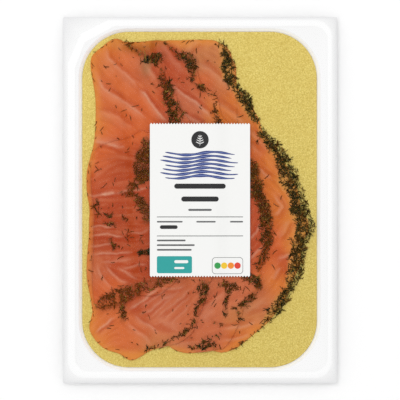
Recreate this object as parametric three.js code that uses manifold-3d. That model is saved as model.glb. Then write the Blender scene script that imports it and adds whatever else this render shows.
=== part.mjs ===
// A sealed pack of dill-cured salmon: thin slices shingled on a gold board, in a shallow white tray,
// under a clear film that carries a paper label. Millimetres, +Z up, lying flat with the label up.
// The origin is under the middle of the pack, on the surface that it lies on; +Y is the label's top.
import * as THREE from "three";
import { mergeVertices } from "three/addons/utils/BufferGeometryUtils.js";
import Module from "manifold-3d";

const wasm = await Module();
wasm.setup();

// ---------- Driving dimensions ----------

const GAP = 0.3; // air kept between two loose pieces
const SLIVER = 0.03; // thinner triangles, left by joining, are merged away
const SAME_POINT = 1e-3; // corners closer than this are one corner

const TRAY = { width: 164.5, length: 219.8, cornerRadius: 0.8, wall: 0.5, flangeTop: 5 };
const CORNER_STEPS = 8; // straight pieces in each rounded corner
const POCKET = { width: 141, length: 201.6, radius: 28, slope: 1.8, middle: [-0.3, 0.4] };
const SEAL = {
  height: 0.25,
  shoulder: 0.4,
  // At the top left, the corner to peel, two straight cuts through these points take off the arc.
  outer: {
    width: 159,
    length: 215.4,
    radius: 10.5,
    middle: [0, 0.7],
    cut: [[-54.8, 108.4], [-71.8, 99.9], [-79.5, 82.4]],
  },
  inner: {
    width: 151.2,
    length: 207,
    radius: 8.5,
    middle: [0.9, 0.7],
    cut: [[-51.1, 104.2], [-68.9, 94.4], [-74.7, 79]],
  },
};
const BOARD = { thick: 0.6 };
const FILM = { thick: 0.25, margin: 0.3, step: 9, tautPasses: 3 };
const LABEL = { width: 60, top: 46.3, bottom: -46.1, thick: 0.25, teeth: 35, toothDepth: 0.9 };

const SLICE = { thick: 1.9, edge: 0.8, roll: 3, drape: 6, ripple: 0.12, rippleX: 8, rippleY: 13 };
const RING_SHARES = [0.72, 0.38]; // where the inner rings of a slice's surface lie, from its middle
const DILL = {
  arms: 3,
  length: 6,
  width: 1.3,
  rise: 0.7,
  root: 0.2,
  margin: 1,
  spacing: 1.6,
  apart: 2.9,
  seed: 7,
};

// Each slice's outline runs clockwise from its top left corner, through points in millimetres. A
// crust of dill follows the outline between two of its points; a patch lies loose on the flesh.
const SLICES = [
  {
    name: "salmon_slice_1",
    colour: 0xc9703c,
    middle: [24, 0],
    outline: [
      [-25, 94.3], [-11, 96.1], [8.4, 96.1], [15, 94.3], [21.6, 80.5], [21, 73.3], [31.2, 59.5],
      [37.8, 43.9], [49.2, 31.3], [58.8, 16.9], [64.2, -2.3], [64.2, -9.5], [68.8, -12.5],
      [68.8, -20.3], [64.2, -28.1], [62.4, -41.9], [55, -55.5], [50.5, -64.5], [42, -74.5],
      [34.2, -79.1], [19.2, -90.2], [2, -89.9], [-4, -54], [-4.5, 6], [-14, 60],
    ],
    crusts: [{ from: 3, to: 20, width: 6 }],
    patches: [],
  },
  {
    name: "salmon_slice_2",
    colour: 0xc66b41,
    middle: [-9, 0],
    outline: [
      [-48.6, 93.7], [-36, 95.2], [-22.2, 95.5], [-16.8, 90.7], [-1.8, 87.1], [-0.6, 74.5],
      [10.2, 61.9], [13.2, 52.9], [24, 36.1], [36.6, 18.1], [37.8, 1.3], [43.2, -7.1],
      [43.8, -26.9], [37.8, -41.9], [37.2, -52.7], [28.2, -64.1], [24, -73.1], [13.2, -89.6],
      [-13.2, -90.8], [-28, -78], [-37.2, -30], [-39.6, 24], [-44.4, 66],
    ],
    crusts: [{ from: 4, to: 7, width: 7 }, { from: 9, to: 16, width: 5 }],
    patches: [{ at: [16, -62], reach: [4, 9], count: 14 }, { at: [5, -85], reach: [8, 4], count: 14 }],
  },
  {
    name: "salmon_slice_3",
    colour: 0xc9663f,
    middle: [-32, 0],
    outline: [
      [-65.4, 85.3], [-60, 91.3], [-51, 97], [-45, 94.9], [-35.4, 88.3], [-22.2, 87.7],
      [-20.4, 73.3], [-13.8, 63.7], [-7.8, 51.7], [3, 21.1], [8.4, -17.9], [6, -53.9],
      [-0.6, -71.9], [-7.2, -83.3], [-30, -91.1], [-41.4, -96.2], [-48.6, -92.3], [-58.2, -88.7],
      [-66.3, -77.9], [-64.8, -66.5], [-68.1, -44.9], [-66.6, -14.9], [-68.1, 15.7],
      [-63.6, 35.5], [-62.8, 60.1],
    ],
    crusts: [{ from: 4, to: 8, width: 7 }, { from: 11, to: 14, width: 5 }],
    patches: [{ at: [-33, 81], reach: [7, 5], count: 12 }, { at: [-46, -70], reach: [4, 6], count: 8 }],
  },
  {
    name: "salmon_slice_4",
    colour: 0xb9532f,
    middle: [-38, -8],
    outline: [
      [-63.6, 28.9], [-55.2, 34.3], [-43.2, 37.3], [-33, 42.1], [-22.2, 36.1], [-15.6, 15.1],
      [-13, -20.9], [-12.6, -40.7], [-14.4, -49.5], [-25.2, -56.9], [-39, -59.9], [-49.2, -65.3],
      [-61.2, -66.5], [-63.9, -58.7], [-63.6, -17.9],
    ],
    crusts: [{ from: 8, to: 12, width: 6 }],
    patches: [
      { at: [-35.5, 20], reach: [6, 20], count: 40 },
      { at: [-35, -30], reach: [3.5, 2.5], count: 6 },
    ],
  },
];

// ---------- Heights of the layers, from the table up ----------

const boardBottom = TRAY.wall + GAP;
const boardTop = boardBottom + BOARD.thick;
const fishBottom = boardTop + GAP;

// ---------- Closed bodies from rings and sheets ----------

// A closed body through rings of equally many points, each turning anticlockwise seen from above,
// that starts in a point under the first ring and ends in a point over the last one.
function bodyFromRings(start, rings, end) {
  const count = rings[0].length;
  const points = [start, ...rings.flat(), end];
  const last = points.length - 1;
  const faces = [];
  for (let i = 0; i < count; i++) {
    const next = (i + 1) % count;
    faces.push(0, 1 + next, 1 + i);
    for (let ring = 1; ring < rings.length; ring++) {
      const under = 1 + (ring - 1) * count;
      const over = under + count;
      faces.push(under + i, under + next, over + next);
      faces.push(under + i, over + next, over + i);
    }
    const top = last - count;
    faces.push(top + i, top + next, last);
  }
  return indexedGeometry(points, faces);
}

// A closed thin sheet: one grid of points for its underside and one for its upper side.
function bodyFromSheet(columns, rows, underside, upperSide) {
  const points = [];
  for (const side of [underside, upperSide])
    for (let j = 0; j < rows; j++)
      for (let i = 0; i < columns; i++) points.push(side(i, j));
  const faces = [];
  const at = (i, j, side) => side * columns * rows + j * columns + i;
  const quad = (a, b, c, d) => faces.push(a, b, c, a, c, d);
  for (let j = 0; j + 1 < rows; j++)
    for (let i = 0; i + 1 < columns; i++) {
      quad(at(i, j, 1), at(i + 1, j, 1), at(i + 1, j + 1, 1), at(i, j + 1, 1));
      quad(at(i, j, 0), at(i, j + 1, 0), at(i + 1, j + 1, 0), at(i + 1, j, 0));
    }
  const edge = (a, b) => quad(at(...a, 0), at(...b, 0), at(...b, 1), at(...a, 1));
  const right = columns - 1;
  const top = rows - 1;
  for (let i = 0; i < right; i++) {
    edge([i, 0], [i + 1, 0]);
    edge([i + 1, top], [i, top]);
  }
  for (let j = 0; j < top; j++) {
    edge([right, j], [right, j + 1]);
    edge([0, j + 1], [0, j]);
  }
  return indexedGeometry(points, faces);
}

function indexedGeometry(points, faces) {
  const geometry = new THREE.BufferGeometry().setFromPoints(points);
  geometry.setIndex(faces);
  return geometry;
}

// ---------- Joining and cutting ----------

function toSolid(geometry) {
  const bare = geometry.clone();
  bare.deleteAttribute("normal");
  bare.deleteAttribute("uv");
  const merged = mergeVertices(bare, SAME_POINT);
  return new wasm.Manifold(
    new wasm.Mesh({
      numProp: 3,
      vertProperties: merged.attributes.position.array,
      triVerts: new Uint32Array(merged.index.array),
    }),
  );
}

function toGeometry(solid) {
  const mesh = solid.getMesh();
  const geometry = new THREE.BufferGeometry();
  geometry.setAttribute("position", new THREE.BufferAttribute(mesh.vertProperties, 3));
  geometry.setIndex(new THREE.BufferAttribute(mesh.triVerts, 1));
  return geometry;
}

// The largest closed shell of a solid: small sealed hollows are filled, and loose scraps dropped.
function largestShell(solid) {
  const shells = toSolid(toGeometry(solid)).decompose();
  return shells.reduce((best, shell) => (shell.volume() > best.volume() ? shell : best));
}

// ---------- Tray ----------

// A rounded rectangle at one height, anticlockwise, with the same number of points at any size.
function roundedRing({ width, length, radius, middle = [0, 0], cut }, z) {
  const points = [];
  for (let corner = 0; corner < 4; corner++) {
    const alongX = corner === 0 || corner === 3 ? 1 : -1;
    const alongY = corner < 2 ? 1 : -1;
    const x = middle[0] + alongX * (width / 2 - radius);
    const y = middle[1] + alongY * (length / 2 - radius);
    for (let step = 0; step <= CORNER_STEPS; step++) {
      const share = step / CORNER_STEPS;
      const angle = (corner + share) * (Math.PI / 2);
      const onArc = new THREE.Vector3(x + radius * Math.cos(angle), y + radius * Math.sin(angle), z);
      points.push(corner === 1 && cut ? pointOnCut(cut, share, z) : onArc);
    }
  }
  return points;
}

// A point at a share of the way over the two straight cuts that take off a corner.
function pointOnCut(cut, share, z) {
  const side = share < 0.5 ? 0 : 1;
  const [start, end] = [cut[side], cut[side + 1]].map(([x, y]) => new THREE.Vector3(x, y, z));
  return start.lerp(end, 2 * share - side);
}

// The same rounded rectangle, with its cut corner if it has one, larger by a margin all round.
function grown(shape, margin) {
  const made = {
    ...shape,
    width: shape.width + 2 * margin,
    length: shape.length + 2 * margin,
    radius: shape.radius + margin,
  };
  if (shape.cut) {
    const [top, bend, left] = shape.cut;
    const across = margin * Math.SQRT1_2;
    made.cut = [
      [top[0], top[1] + margin],
      [bend[0] - across, bend[1] + across],
      [left[0] - margin, left[1]],
    ];
  }
  return made;
}

function trayGeometry() {
  const { wall, flangeTop } = TRAY;
  const edge = { width: TRAY.width, length: TRAY.length, radius: TRAY.cornerRadius };
  const floor = grown(POCKET, GAP);
  const mouth = grown(POCKET, POCKET.slope);
  const sealTop = flangeTop + SEAL.height;
  const { shoulder } = SEAL;
  const rings = [
    roundedRing(grown(floor, wall), 0),
    roundedRing(grown(mouth, wall), flangeTop - wall),
    roundedRing(edge, flangeTop - wall),
    roundedRing(edge, flangeTop),
    roundedRing(SEAL.outer, flangeTop),
    roundedRing(grown(SEAL.outer, -shoulder), sealTop),
    roundedRing(grown(SEAL.inner, shoulder), sealTop),
    roundedRing(SEAL.inner, flangeTop),
    roundedRing(mouth, flangeTop),
    roundedRing(floor, wall),
  ];
  const [x, y] = POCKET.middle;
  return bodyFromRings(new THREE.Vector3(x, y, 0), rings, new THREE.Vector3(x, y, wall));
}

// ---------- Gold board ----------

function boardGeometry() {
  const outline = new THREE.Shape(roundedRing(POCKET, 0).map((p) => new THREE.Vector2(p.x, p.y)));
  const geometry = new THREE.ExtrudeGeometry(outline, { depth: BOARD.thick, bevelEnabled: false });
  return geometry.translate(0, 0, boardBottom);
}

// ---------- Salmon slices ----------

function outlineCurve(slice) {
  const points = slice.outline.map(([x, y]) => new THREE.Vector3(x, y, 0)).reverse();
  return new THREE.CatmullRomCurve3(points, true, "centripetal");
}

// The slice's outline, anticlockwise, with one more point between each two of its own.
function outlinePoints(slice) {
  return outlineCurve(slice).getPoints(2 * slice.outline.length).slice(0, -1);
}

// How far a place lies inside an outline, or outside it where negative.
function depthInside(outline, x, y) {
  let nearest = Infinity;
  let inside = false;
  outline.forEach((a, i) => {
    const b = outline[(i + 1) % outline.length];
    const along = (x - a.x) * (b.x - a.x) + (y - a.y) * (b.y - a.y);
    const share = THREE.MathUtils.clamp(along / a.distanceToSquared(b), 0, 1);
    const foot = a.clone().lerp(b, share);
    nearest = Math.min(nearest, Math.hypot(foot.x - x, foot.y - y));
    const crosses = a.y > y !== b.y > y && x < a.x + ((y - a.y) * (b.x - a.x)) / (b.y - a.y);
    if (crosses) inside = !inside;
  });
  return inside ? nearest : -nearest;
}

// The height on which a slice lies: each slice under it lifts it by a layer, easing off past its edge.
function restHeight(outlinesBelow, x, y) {
  let height = fishBottom;
  for (const outline of outlinesBelow) {
    const depth = depthInside(outline, x, y);
    height += (SLICE.thick + GAP) * THREE.MathUtils.smoothstep(depth, -SLICE.drape, 0);
  }
  return height;
}

// A slice as a column on the board's level, draped over the slices below on its upper side. Lift and
// spread give the larger body that the slices above it keep clear of.
function sliceColumn(slice, outline, outlinesBelow, lift = 0, spread = 0) {
  const middle = new THREE.Vector3(...slice.middle, 0);
  const ring = (place, thick) =>
    outline.map((corner) => {
      const outward = corner.clone().sub(middle);
      const { x, y } = outward.setLength(place(outward.length())).add(middle);
      const ripple = SLICE.ripple * Math.sin(x / SLICE.rippleX) * Math.cos(y / SLICE.rippleY);
      return new THREE.Vector3(x, y, restHeight(outlinesBelow, x, y) + thick + ripple + lift);
    });
  const rim = ring((reach) => reach + spread, SLICE.edge);
  const foot = rim.map((p) => new THREE.Vector3(p.x, p.y, fishBottom - 2 * lift));
  const shoulder = ring((reach) => reach - SLICE.roll, SLICE.thick);
  const inner = RING_SHARES.map((share) => ring((reach) => share * reach, SLICE.thick));
  const top = restHeight(outlinesBelow, middle.x, middle.y) + SLICE.thick + lift;
  return bodyFromRings(
    new THREE.Vector3(middle.x, middle.y, fishBottom - 2 * lift),
    [foot, rim, shoulder, ...inner],
    new THREE.Vector3(middle.x, middle.y, top),
  );
}

// ---------- Dill ----------

// Random numbers from 0 to 1 that are the same on every run.
function seededRandom(seed) {
  let state = seed;
  return () => {
    state = (state * 1664525 + 1013904223) % 4294967296;
    return state / 4294967296;
  };
}

// The places of the tufts of dill on one slice, along its crusts and over its patches.
function dillPlaces(slice, random) {
  const places = [];
  const middle = new THREE.Vector3(...slice.middle, 0);
  const curve = outlineCurve(slice);
  const count = slice.outline.length;
  for (const { from, to, width } of slice.crusts) {
    const [start, end] = [to, from].map((point) => (count - 1 - point) / count);
    const stretch = curve.getLength() * (end - start);
    const tufts = Math.round(stretch / DILL.spacing);
    for (let i = 0; i <= tufts; i++) {
      const edge = curve.getPoint(start + ((end - start) * i) / tufts);
      const inward = middle.clone().sub(edge).normalize();
      places.push(edge.addScaledVector(inward, 1.5 * DILL.margin + random() * width));
    }
  }
  for (const { at, reach, count: tufts } of slice.patches)
    for (let i = 0; i < tufts; i++) {
      const x = at[0] + reach[0] * (2 * random() - 1);
      const y = at[1] + (reach[1] * (2 * (i + random())) / tufts - reach[1]);
      places.push(new THREE.Vector3(x, y, 0));
    }
  return places;
}

// One tuft: a low star whose arms are needles that rise to its middle, its base just under the flesh.
function tuftSolid(place, random) {
  const corners = 2 * DILL.arms;
  const geometry = new THREE.ConeGeometry(1, DILL.rise + DILL.root, corners).rotateX(Math.PI / 2);
  const reaches = Array.from({ length: corners }, (_, corner) =>
    corner % 2 ? DILL.width / 2 : (DILL.length / 2) * (0.7 + 0.5 * random()),
  );
  const position = geometry.attributes.position;
  for (let i = 0; i < position.count; i++) {
    const [x, y] = [position.getX(i), position.getY(i)];
    const corner = Math.floor((Math.atan2(y, x) / Math.PI) * DILL.arms + corners) % corners;
    position.setXY(i, x * reaches[corner], y * reaches[corner]);
  }
  geometry.rotateZ(random() * Math.PI);
  geometry.translate(place.x, place.y, place.z + (DILL.rise - DILL.root) / 2);
  return toSolid(geometry);
}

// Whether a tuft at this place is clear of the slices that lie on this one.
function isOpen(place, outlinesAbove) {
  const reach = DILL.length * 0.65 + GAP;
  return outlinesAbove.every((outline) => depthInside(outline, place.x, place.y) < -reach);
}

// The places where tufts stay: inside the slice's edge, in the open, and not piled on one another.
function openPlaces(slice, outline, outlinesAbove, random) {
  const kept = [];
  for (const place of dillPlaces(slice, random)) {
    const onFlesh = depthInside(outline, place.x, place.y) > DILL.margin;
    const apart = kept.every((other) => other.distanceTo(place) > DILL.apart);
    if (onFlesh && apart && isOpen(place, outlinesAbove)) kept.push(place);
  }
  return kept;
}

function withDill(slice, solid, outline, outlinesAbove, random) {
  const mesh = new THREE.Mesh(toGeometry(solid), new THREE.MeshBasicMaterial());
  const ray = new THREE.Raycaster();
  const down = new THREE.Vector3(0, 0, -1);
  let joined = solid;
  for (const place of openPlaces(slice, outline, outlinesAbove, random)) {
    ray.set(new THREE.Vector3(place.x, place.y, 50), down);
    place.z = ray.intersectObject(mesh)[0].point.z;
    joined = joined.add(tuftSolid(place, random)).simplify(SLIVER);
  }
  return largestShell(joined);
}

function sliceGeometries() {
  const outlines = SLICES.map(outlinePoints);
  const random = seededRandom(DILL.seed);
  const cleared = [];
  return SLICES.map((slice, level) => {
    const below = outlines.slice(0, level);
    let solid = toSolid(sliceColumn(slice, outlines[level], below));
    for (const body of cleared) solid = solid.subtract(body);
    cleared.push(toSolid(sliceColumn(slice, outlines[level], below, GAP, GAP + 0.1)));
    return toGeometry(withDill(slice, solid, outlines[level], outlines.slice(level + 1), random));
  });
}

// ---------- Film ----------

// Grid lines across the film: close together over the pocket's edge, even over the fish.
function filmLines(size, pocket) {
  const half = size / 2 - FILM.margin;
  const inside = pocket / 2 - GAP;
  const cells = Math.round((2 * inside) / FILM.step);
  const lines = [-half, -(inside + half) / 2];
  for (let i = 0; i <= cells; i++) lines.push(-inside + (2 * inside * i) / cells);
  lines.push((inside + half) / 2, half);
  return lines;
}

// The highest point of any of the bodies over each cell of a grid.
function highestPerCell(xs, ys, bodies) {
  const highest = xs.map(() => ys.map(() => 0));
  const cellOf = (lines, value) => lines.findLastIndex((line) => line <= value);
  const corners = [new THREE.Vector3(), new THREE.Vector3(), new THREE.Vector3()];
  const sample = new THREE.Vector3();
  for (const geometry of bodies) {
    const flat = geometry.index ? geometry.toNonIndexed() : geometry;
    const position = flat.attributes.position;
    for (let face = 0; face < position.count; face += 3) {
      corners.forEach((corner, k) => corner.fromBufferAttribute(position, face + k));
      const [a, b, c] = corners;
      const steps = Math.ceil(Math.max(a.distanceTo(b), b.distanceTo(c), c.distanceTo(a)) / 1.2);
      for (let u = 0; u <= steps; u++)
        for (let v = 0; u + v <= steps; v++) {
          sample.copy(a).multiplyScalar(steps - u - v).addScaledVector(b, u).addScaledVector(c, v);
          sample.divideScalar(steps);
          const i = cellOf(xs, sample.x);
          const j = cellOf(ys, sample.y);
          if (i >= 0 && j >= 0) highest[i][j] = Math.max(highest[i][j], sample.z);
        }
    }
  }
  return highest;
}

// The film's underside at each crossing of the grid: clear of all four cells round it, then pulled
// taut, which lifts it to the mean of its neighbours where it would sag below them.
function filmHeights(xs, ys, bodies) {
  const highest = highestPerCell(xs, ys, bodies);
  const cell = (i, j) => highest[i]?.[j] ?? 0;
  let heights = xs.map((x, i) =>
    ys.map((y, j) => GAP + Math.max(cell(i, j), cell(i - 1, j), cell(i, j - 1), cell(i - 1, j - 1))),
  );
  for (let pass = 0; pass < FILM.tautPasses; pass++)
    heights = heights.map((column, i) =>
      column.map((height, j) => {
        const onEdge = i === 0 || j === 0 || i === xs.length - 1 || j === ys.length - 1;
        if (onEdge) return height;
        const around = heights[i - 1][j] + heights[i + 1][j] + column[j - 1] + column[j + 1];
        return Math.max(height, around / 4);
      }),
    );
  return heights;
}

// The film's grid and the heights of its underside over the bodies that it covers.
function filmSurface(bodies) {
  const xs = filmLines(TRAY.width, POCKET.width);
  const ys = filmLines(TRAY.length, POCKET.length);
  return { xs, ys, heights: filmHeights(xs, ys, bodies) };
}

function filmGeometry({ xs, ys, heights }) {
  const point = (lift) => (i, j) => new THREE.Vector3(xs[i], ys[j], heights[i][j] + lift);
  return bodyFromSheet(xs.length, ys.length, point(0), point(FILM.thick));
}

// ---------- Label ----------

// The height of the label's underside at a place across it: it rests on the highest film along each
// of the film's lines, and runs straight from one line to the next.
function labelHeight({ xs, ys, heights }, x) {
  const covered = (y) => y > LABEL.bottom - FILM.step && y < LABEL.top + FILM.step;
  const over = (i) => Math.max(...heights[i].filter((_, j) => covered(ys[j])));
  const line = xs.findLastIndex((place) => place <= x);
  const share = (x - xs[line]) / (xs[line + 1] - xs[line]);
  return THREE.MathUtils.lerp(over(line), over(line + 1), share) + FILM.thick + GAP;
}

// Paper bent one way only: straight up and down the label, with a sawn edge at its top and bottom.
function labelGeometry(surface) {
  const columns = 2 * LABEL.teeth + 1;
  const point = (lift) => (i, j) => {
    const x = LABEL.width * (i / (columns - 1) - 0.5);
    const bite = i % 2 ? 0 : LABEL.toothDepth;
    const y = j === 0 ? LABEL.bottom + bite : LABEL.top - bite;
    return new THREE.Vector3(x, y, labelHeight(surface, x) + lift);
  };
  return bodyFromSheet(columns, 2, point(0), point(LABEL.thick));
}

// ---------- Pack ----------

function mesh(name, geometry, colour, roughness, metalness = 0) {
  geometry.computeVertexNormals();
  const material = new THREE.MeshStandardMaterial({ color: colour, roughness, metalness });
  const made = new THREE.Mesh(geometry, material);
  made.name = name;
  return made;
}

const tray = mesh("tray", trayGeometry(), 0xf4f4f3, 0.35);
const board = mesh("gold_board", boardGeometry(), 0xd9c36b, 0.4, 0.6);
const fish = sliceGeometries().map((geometry, i) =>
  mesh(SLICES[i].name, geometry, SLICES[i].colour, 0.3),
);
const surface = filmSurface([tray, board, ...fish].map((piece) => piece.geometry));
const film = mesh("clear_film", filmGeometry(surface), 0xffffff, 0.08);
film.material.transparent = true;
film.material.opacity = 0.15;
const label = mesh("paper_label", labelGeometry(surface), 0xf8f8f6, 0.7);

const group = new THREE.Group();
group.add(tray, board, ...fish, film, label);
export default group;
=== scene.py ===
# %% [markdown]
# # A pack of gravlax
#
# Thin slices of dill-cured salmon lie shingled on a gold board, in a shallow white tray, under a
# clear film that carries a paper label. The frame that this script loads has the pack's plain
# solids at their true size. Each cell below makes one real piece or finish around them.
# Shapes are worked out in millimetres, with the origin under the middle of the pack, +Y towards
# the top of the label and +Z up, and they are turned to metres when a mesh is made.

import bpy
import numpy as np
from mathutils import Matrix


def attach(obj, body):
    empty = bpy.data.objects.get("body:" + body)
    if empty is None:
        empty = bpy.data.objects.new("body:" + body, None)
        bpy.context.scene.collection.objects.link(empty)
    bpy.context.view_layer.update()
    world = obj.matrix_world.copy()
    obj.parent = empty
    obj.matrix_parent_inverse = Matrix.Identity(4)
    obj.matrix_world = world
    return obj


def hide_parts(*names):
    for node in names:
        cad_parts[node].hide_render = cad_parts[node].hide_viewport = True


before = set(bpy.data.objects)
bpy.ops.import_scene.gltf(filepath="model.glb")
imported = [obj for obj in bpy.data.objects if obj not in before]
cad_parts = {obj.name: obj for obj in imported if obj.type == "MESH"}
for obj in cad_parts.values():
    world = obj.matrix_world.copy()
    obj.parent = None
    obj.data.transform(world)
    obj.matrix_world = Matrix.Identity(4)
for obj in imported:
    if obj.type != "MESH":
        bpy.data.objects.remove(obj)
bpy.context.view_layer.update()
print("frame:", sorted(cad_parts))

# %% [markdown]
# ## From arrays to a mesh
#
# Blender can build a mesh by hand, with operators, or from whole arrays of points and faces.
# Arrays suit food and film best, because their forms are formulas on a grid. The slices, the tray
# and the board are closed skins made of rings: a ring is a closed loop of points, each ring is
# joined to the next by four-cornered faces, and a single point closes the first and the last ring.

# %% A closed skin through rings of points
MM = 0.001  # one millimetre in metres


def ring_faces(count, rings):
    """Quads between neighbouring rings, and a fan of triangles from each end point to its ring."""
    here = np.arange(count)
    there = np.roll(here, -1)
    under = 1 + count * np.arange(rings - 1)[:, None]
    over = under + count
    quads = np.stack([under + here, under + there, over + there, over + here], -1).reshape(-1, 4)
    first = np.stack([np.zeros(count, int), 1 + there, 1 + here], -1)
    top = 1 + (rings - 1) * count
    last = np.stack([top + here, top + there, np.full(count, 1 + rings * count)], -1)
    return quads, np.concatenate([first, last])


def new_piece(name, points_mm, face_sets, nodes=(), smooth=True):
    """A mesh object from an array of points and arrays of faces, riding on the pack's only body."""
    mesh = bpy.data.meshes.new(name)
    corners = np.concatenate([faces.ravel() for faces in face_sets])
    sizes = np.concatenate([np.full(len(faces), faces.shape[1]) for faces in face_sets])
    mesh.vertices.add(len(points_mm))
    mesh.vertices.foreach_set("co", (np.asarray(points_mm) * MM).astype(np.float32).ravel())
    mesh.loops.add(len(corners))
    mesh.loops.foreach_set("vertex_index", corners.astype(np.int32))
    mesh.polygons.add(len(sizes))
    mesh.polygons.foreach_set("loop_start", (np.cumsum(sizes) - sizes).astype(np.int32))
    mesh.polygons.foreach_set("use_smooth", np.full(len(sizes), smooth))
    mesh.update(calc_edges=True)
    mesh.validate()
    piece = bpy.data.objects.new(name, mesh)
    bpy.context.scene.collection.objects.link(piece)
    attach(piece, "root")
    if nodes:
        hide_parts(*nodes)
    print(f"{name}: {len(points_mm)} points, {int((sizes - 2).sum())} triangles")
    return piece


def ringed_piece(name, start, rings, end, nodes=(), smooth=True):
    """A closed piece from an end point, an array of rings (ring, point, xyz) and an end point."""
    points = np.concatenate([[start], rings.reshape(-1, 3), [end]])
    return new_piece(name, points, ring_faces(rings.shape[1], len(rings)), nodes, smooth)


def store(piece, name, values):
    """Keeps a number or a colour for each point of a piece, for its material to read."""
    values = np.asarray(values, np.float32)
    kind = "FLOAT" if values.ndim == 1 else "FLOAT_COLOR"
    layer = piece.data.attributes.new(name, kind, "POINT")
    layer.data.foreach_set("value" if values.ndim == 1 else "color", values.ravel())


# %% [markdown]
# ## Nodes for the finishes
#
# Every finish is a small tree of shader nodes. One function adds any node: it sets the node's
# own settings, and gives each named socket either a plain value or a link. Colours are written
# as sRGB hex values, as a colour picker shows them, and turned to the linear values that light
# is reckoned in. Mix nodes for colour have numbered sockets: 0 is the share, 6 and 7 the colours.

# %% One function for nodes and one for colours
MIX_A, MIX_B, MIX_OUT = 6, 7, 2  # the colour sockets of a Mix node


def linear(hex_colour):
    """An sRGB hex colour as linear red, green, blue and a full alpha."""
    parts = [int(hex_colour[i : i + 2], 16) / 255 for i in (1, 3, 5)]
    return [p / 12.92 if p <= 0.04045 else ((p + 0.055) / 1.055) ** 2.4 for p in parts] + [1.0]


def put(tree, kind, sockets=(), **settings):
    """Adds a node, with its settings, and with a value or a link for each socket that is given."""
    node = tree.nodes.new(kind)
    for key, value in settings.items():
        setattr(node, key, value)
    for socket, value in dict(sockets).items():
        if isinstance(value, bpy.types.NodeSocket):
            tree.links.new(value, node.inputs[socket])
        else:
            node.inputs[socket].default_value = value
    return node


def finish_named(name):
    """A new material with an empty tree."""
    material = bpy.data.materials.new(name)
    material.use_nodes = True
    material.node_tree.nodes.clear()
    return material, material.node_tree


def close_tree(tree, shader_sockets):
    """Ends a material's tree with its main shader and the output."""
    shader = put(tree, "ShaderNodeBsdfPrincipled", shader_sockets)
    put(tree, "ShaderNodeOutputMaterial", {"Surface": shader.outputs[0]})


# %% [markdown]
# ## The outlines of the four slices
#
# A slice cut across a side of salmon has one long soft curve where the skin was, and here that
# edge wears the crust of dill. Each outline is a closed curve through the points where the real
# edge bends, the same as those of the frame's solids. The curve between two points is a
# centripetal Catmull-Rom curve, which never overshoots, so the bends stay where they are put.

# %% Slices, from the lowest to the highest
SLICES = {
    "salmon_slice_1": {
        "middle": (24, 0),
        "outline": [
            (-25, 94.3), (-11, 96.1), (8.4, 96.1), (15, 94.3), (21.6, 80.5), (21, 73.3), (31.2, 59.5),
            (37.8, 43.9), (49.2, 31.3), (58.8, 16.9), (64.2, -2.3), (64.2, -9.5), (68.8, -12.5),
            (68.8, -20.3), (64.2, -28.1), (62.4, -41.9), (55, -55.5), (50.5, -64.5), (42, -74.5),
            (34.2, -79.1), (19.2, -90.2), (2, -89.9), (-4, -54), (-4.5, 6), (-14, 60),
        ],
    },
    "salmon_slice_2": {
        "middle": (-9, 0),
        "outline": [
            (-48.6, 93.7), (-36, 95.2), (-22.2, 95.5), (-16.8, 90.7), (-1.8, 87.1), (-0.6, 74.5),
            (10.2, 61.9), (13.2, 52.9), (24, 36.1), (36.6, 18.1), (37.8, 1.3), (43.2, -7.1),
            (43.8, -26.9), (37.8, -41.9), (37.2, -52.7), (28.2, -64.1), (24, -73.1), (13.2, -89.6),
            (-13.2, -90.8), (-28, -78), (-37.2, -30), (-39.6, 24), (-44.4, 66),
        ],
    },
    "salmon_slice_3": {
        "middle": (-32, 0),
        "outline": [
            (-65.4, 85.3), (-60, 91.3), (-51, 97), (-45, 94.9), (-35.4, 88.3), (-22.2, 87.7),
            (-20.4, 73.3), (-13.8, 63.7), (-7.8, 51.7), (3, 21.1), (8.4, -17.9), (6, -53.9),
            (-0.6, -71.9), (-7.2, -83.3), (-30, -91.1), (-41.4, -96.2), (-48.6, -92.3), (-58.2, -88.7),
            (-66.3, -77.9), (-64.8, -66.5), (-68.1, -44.9), (-66.6, -14.9), (-68.1, 15.7),
            (-63.6, 35.5), (-62.8, 60.1),
        ],
    },
    "salmon_slice_4": {
        "middle": (-38, -8),
        "outline": [
            (-63.6, 28.9), (-55.2, 34.3), (-43.2, 37.3), (-33, 42.1), (-22.2, 36.1), (-15.6, 15.1),
            (-13, -20.9), (-12.6, -40.7), (-14.4, -49.5), (-25.2, -56.9), (-39, -59.9), (-49.2, -65.3),
            (-61.2, -66.5), (-63.9, -58.7), (-63.6, -17.9),
        ],
    },
}
STEPS = 8  # straight pieces between two points of an outline


def smooth_loop(points, steps):
    """A closed centripetal Catmull-Rom curve: each stretch is a cubic between two points whose
    slopes come from the neighbours, weighted by the square roots of the distances."""
    p = np.asarray(points, float)
    before, start, end, after = np.roll(p, 1, 0), p, np.roll(p, -1, 0), np.roll(p, -2, 0)
    gaps = [np.sqrt(np.linalg.norm(b - a, axis=1))[:, None] for a, b in
            ((before, start), (start, end), (end, after))]
    g0, g1, g2 = gaps
    out = ((start - before) / g0 - (end - before) / (g0 + g1) + (end - start) / g1) * g1
    into = ((end - start) / g1 - (after - start) / (g1 + g2) + (after - end) / g2) * g1
    t = (np.arange(steps) / steps)[None, :, None]
    curve = (
        start[:, None]
        + out[:, None] * t
        + (3 * (end - start) - 2 * out - into)[:, None] * t**2
        + (2 * (start - end) + out + into)[:, None] * t**3
    )
    return curve.reshape(-1, 2)


for slice_data in SLICES.values():
    # anticlockwise, seen from above
    slice_data["loop"] = smooth_loop(slice_data["outline"][::-1], STEPS)
    print(len(slice_data["loop"]), "points on a slice's edge")

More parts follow.
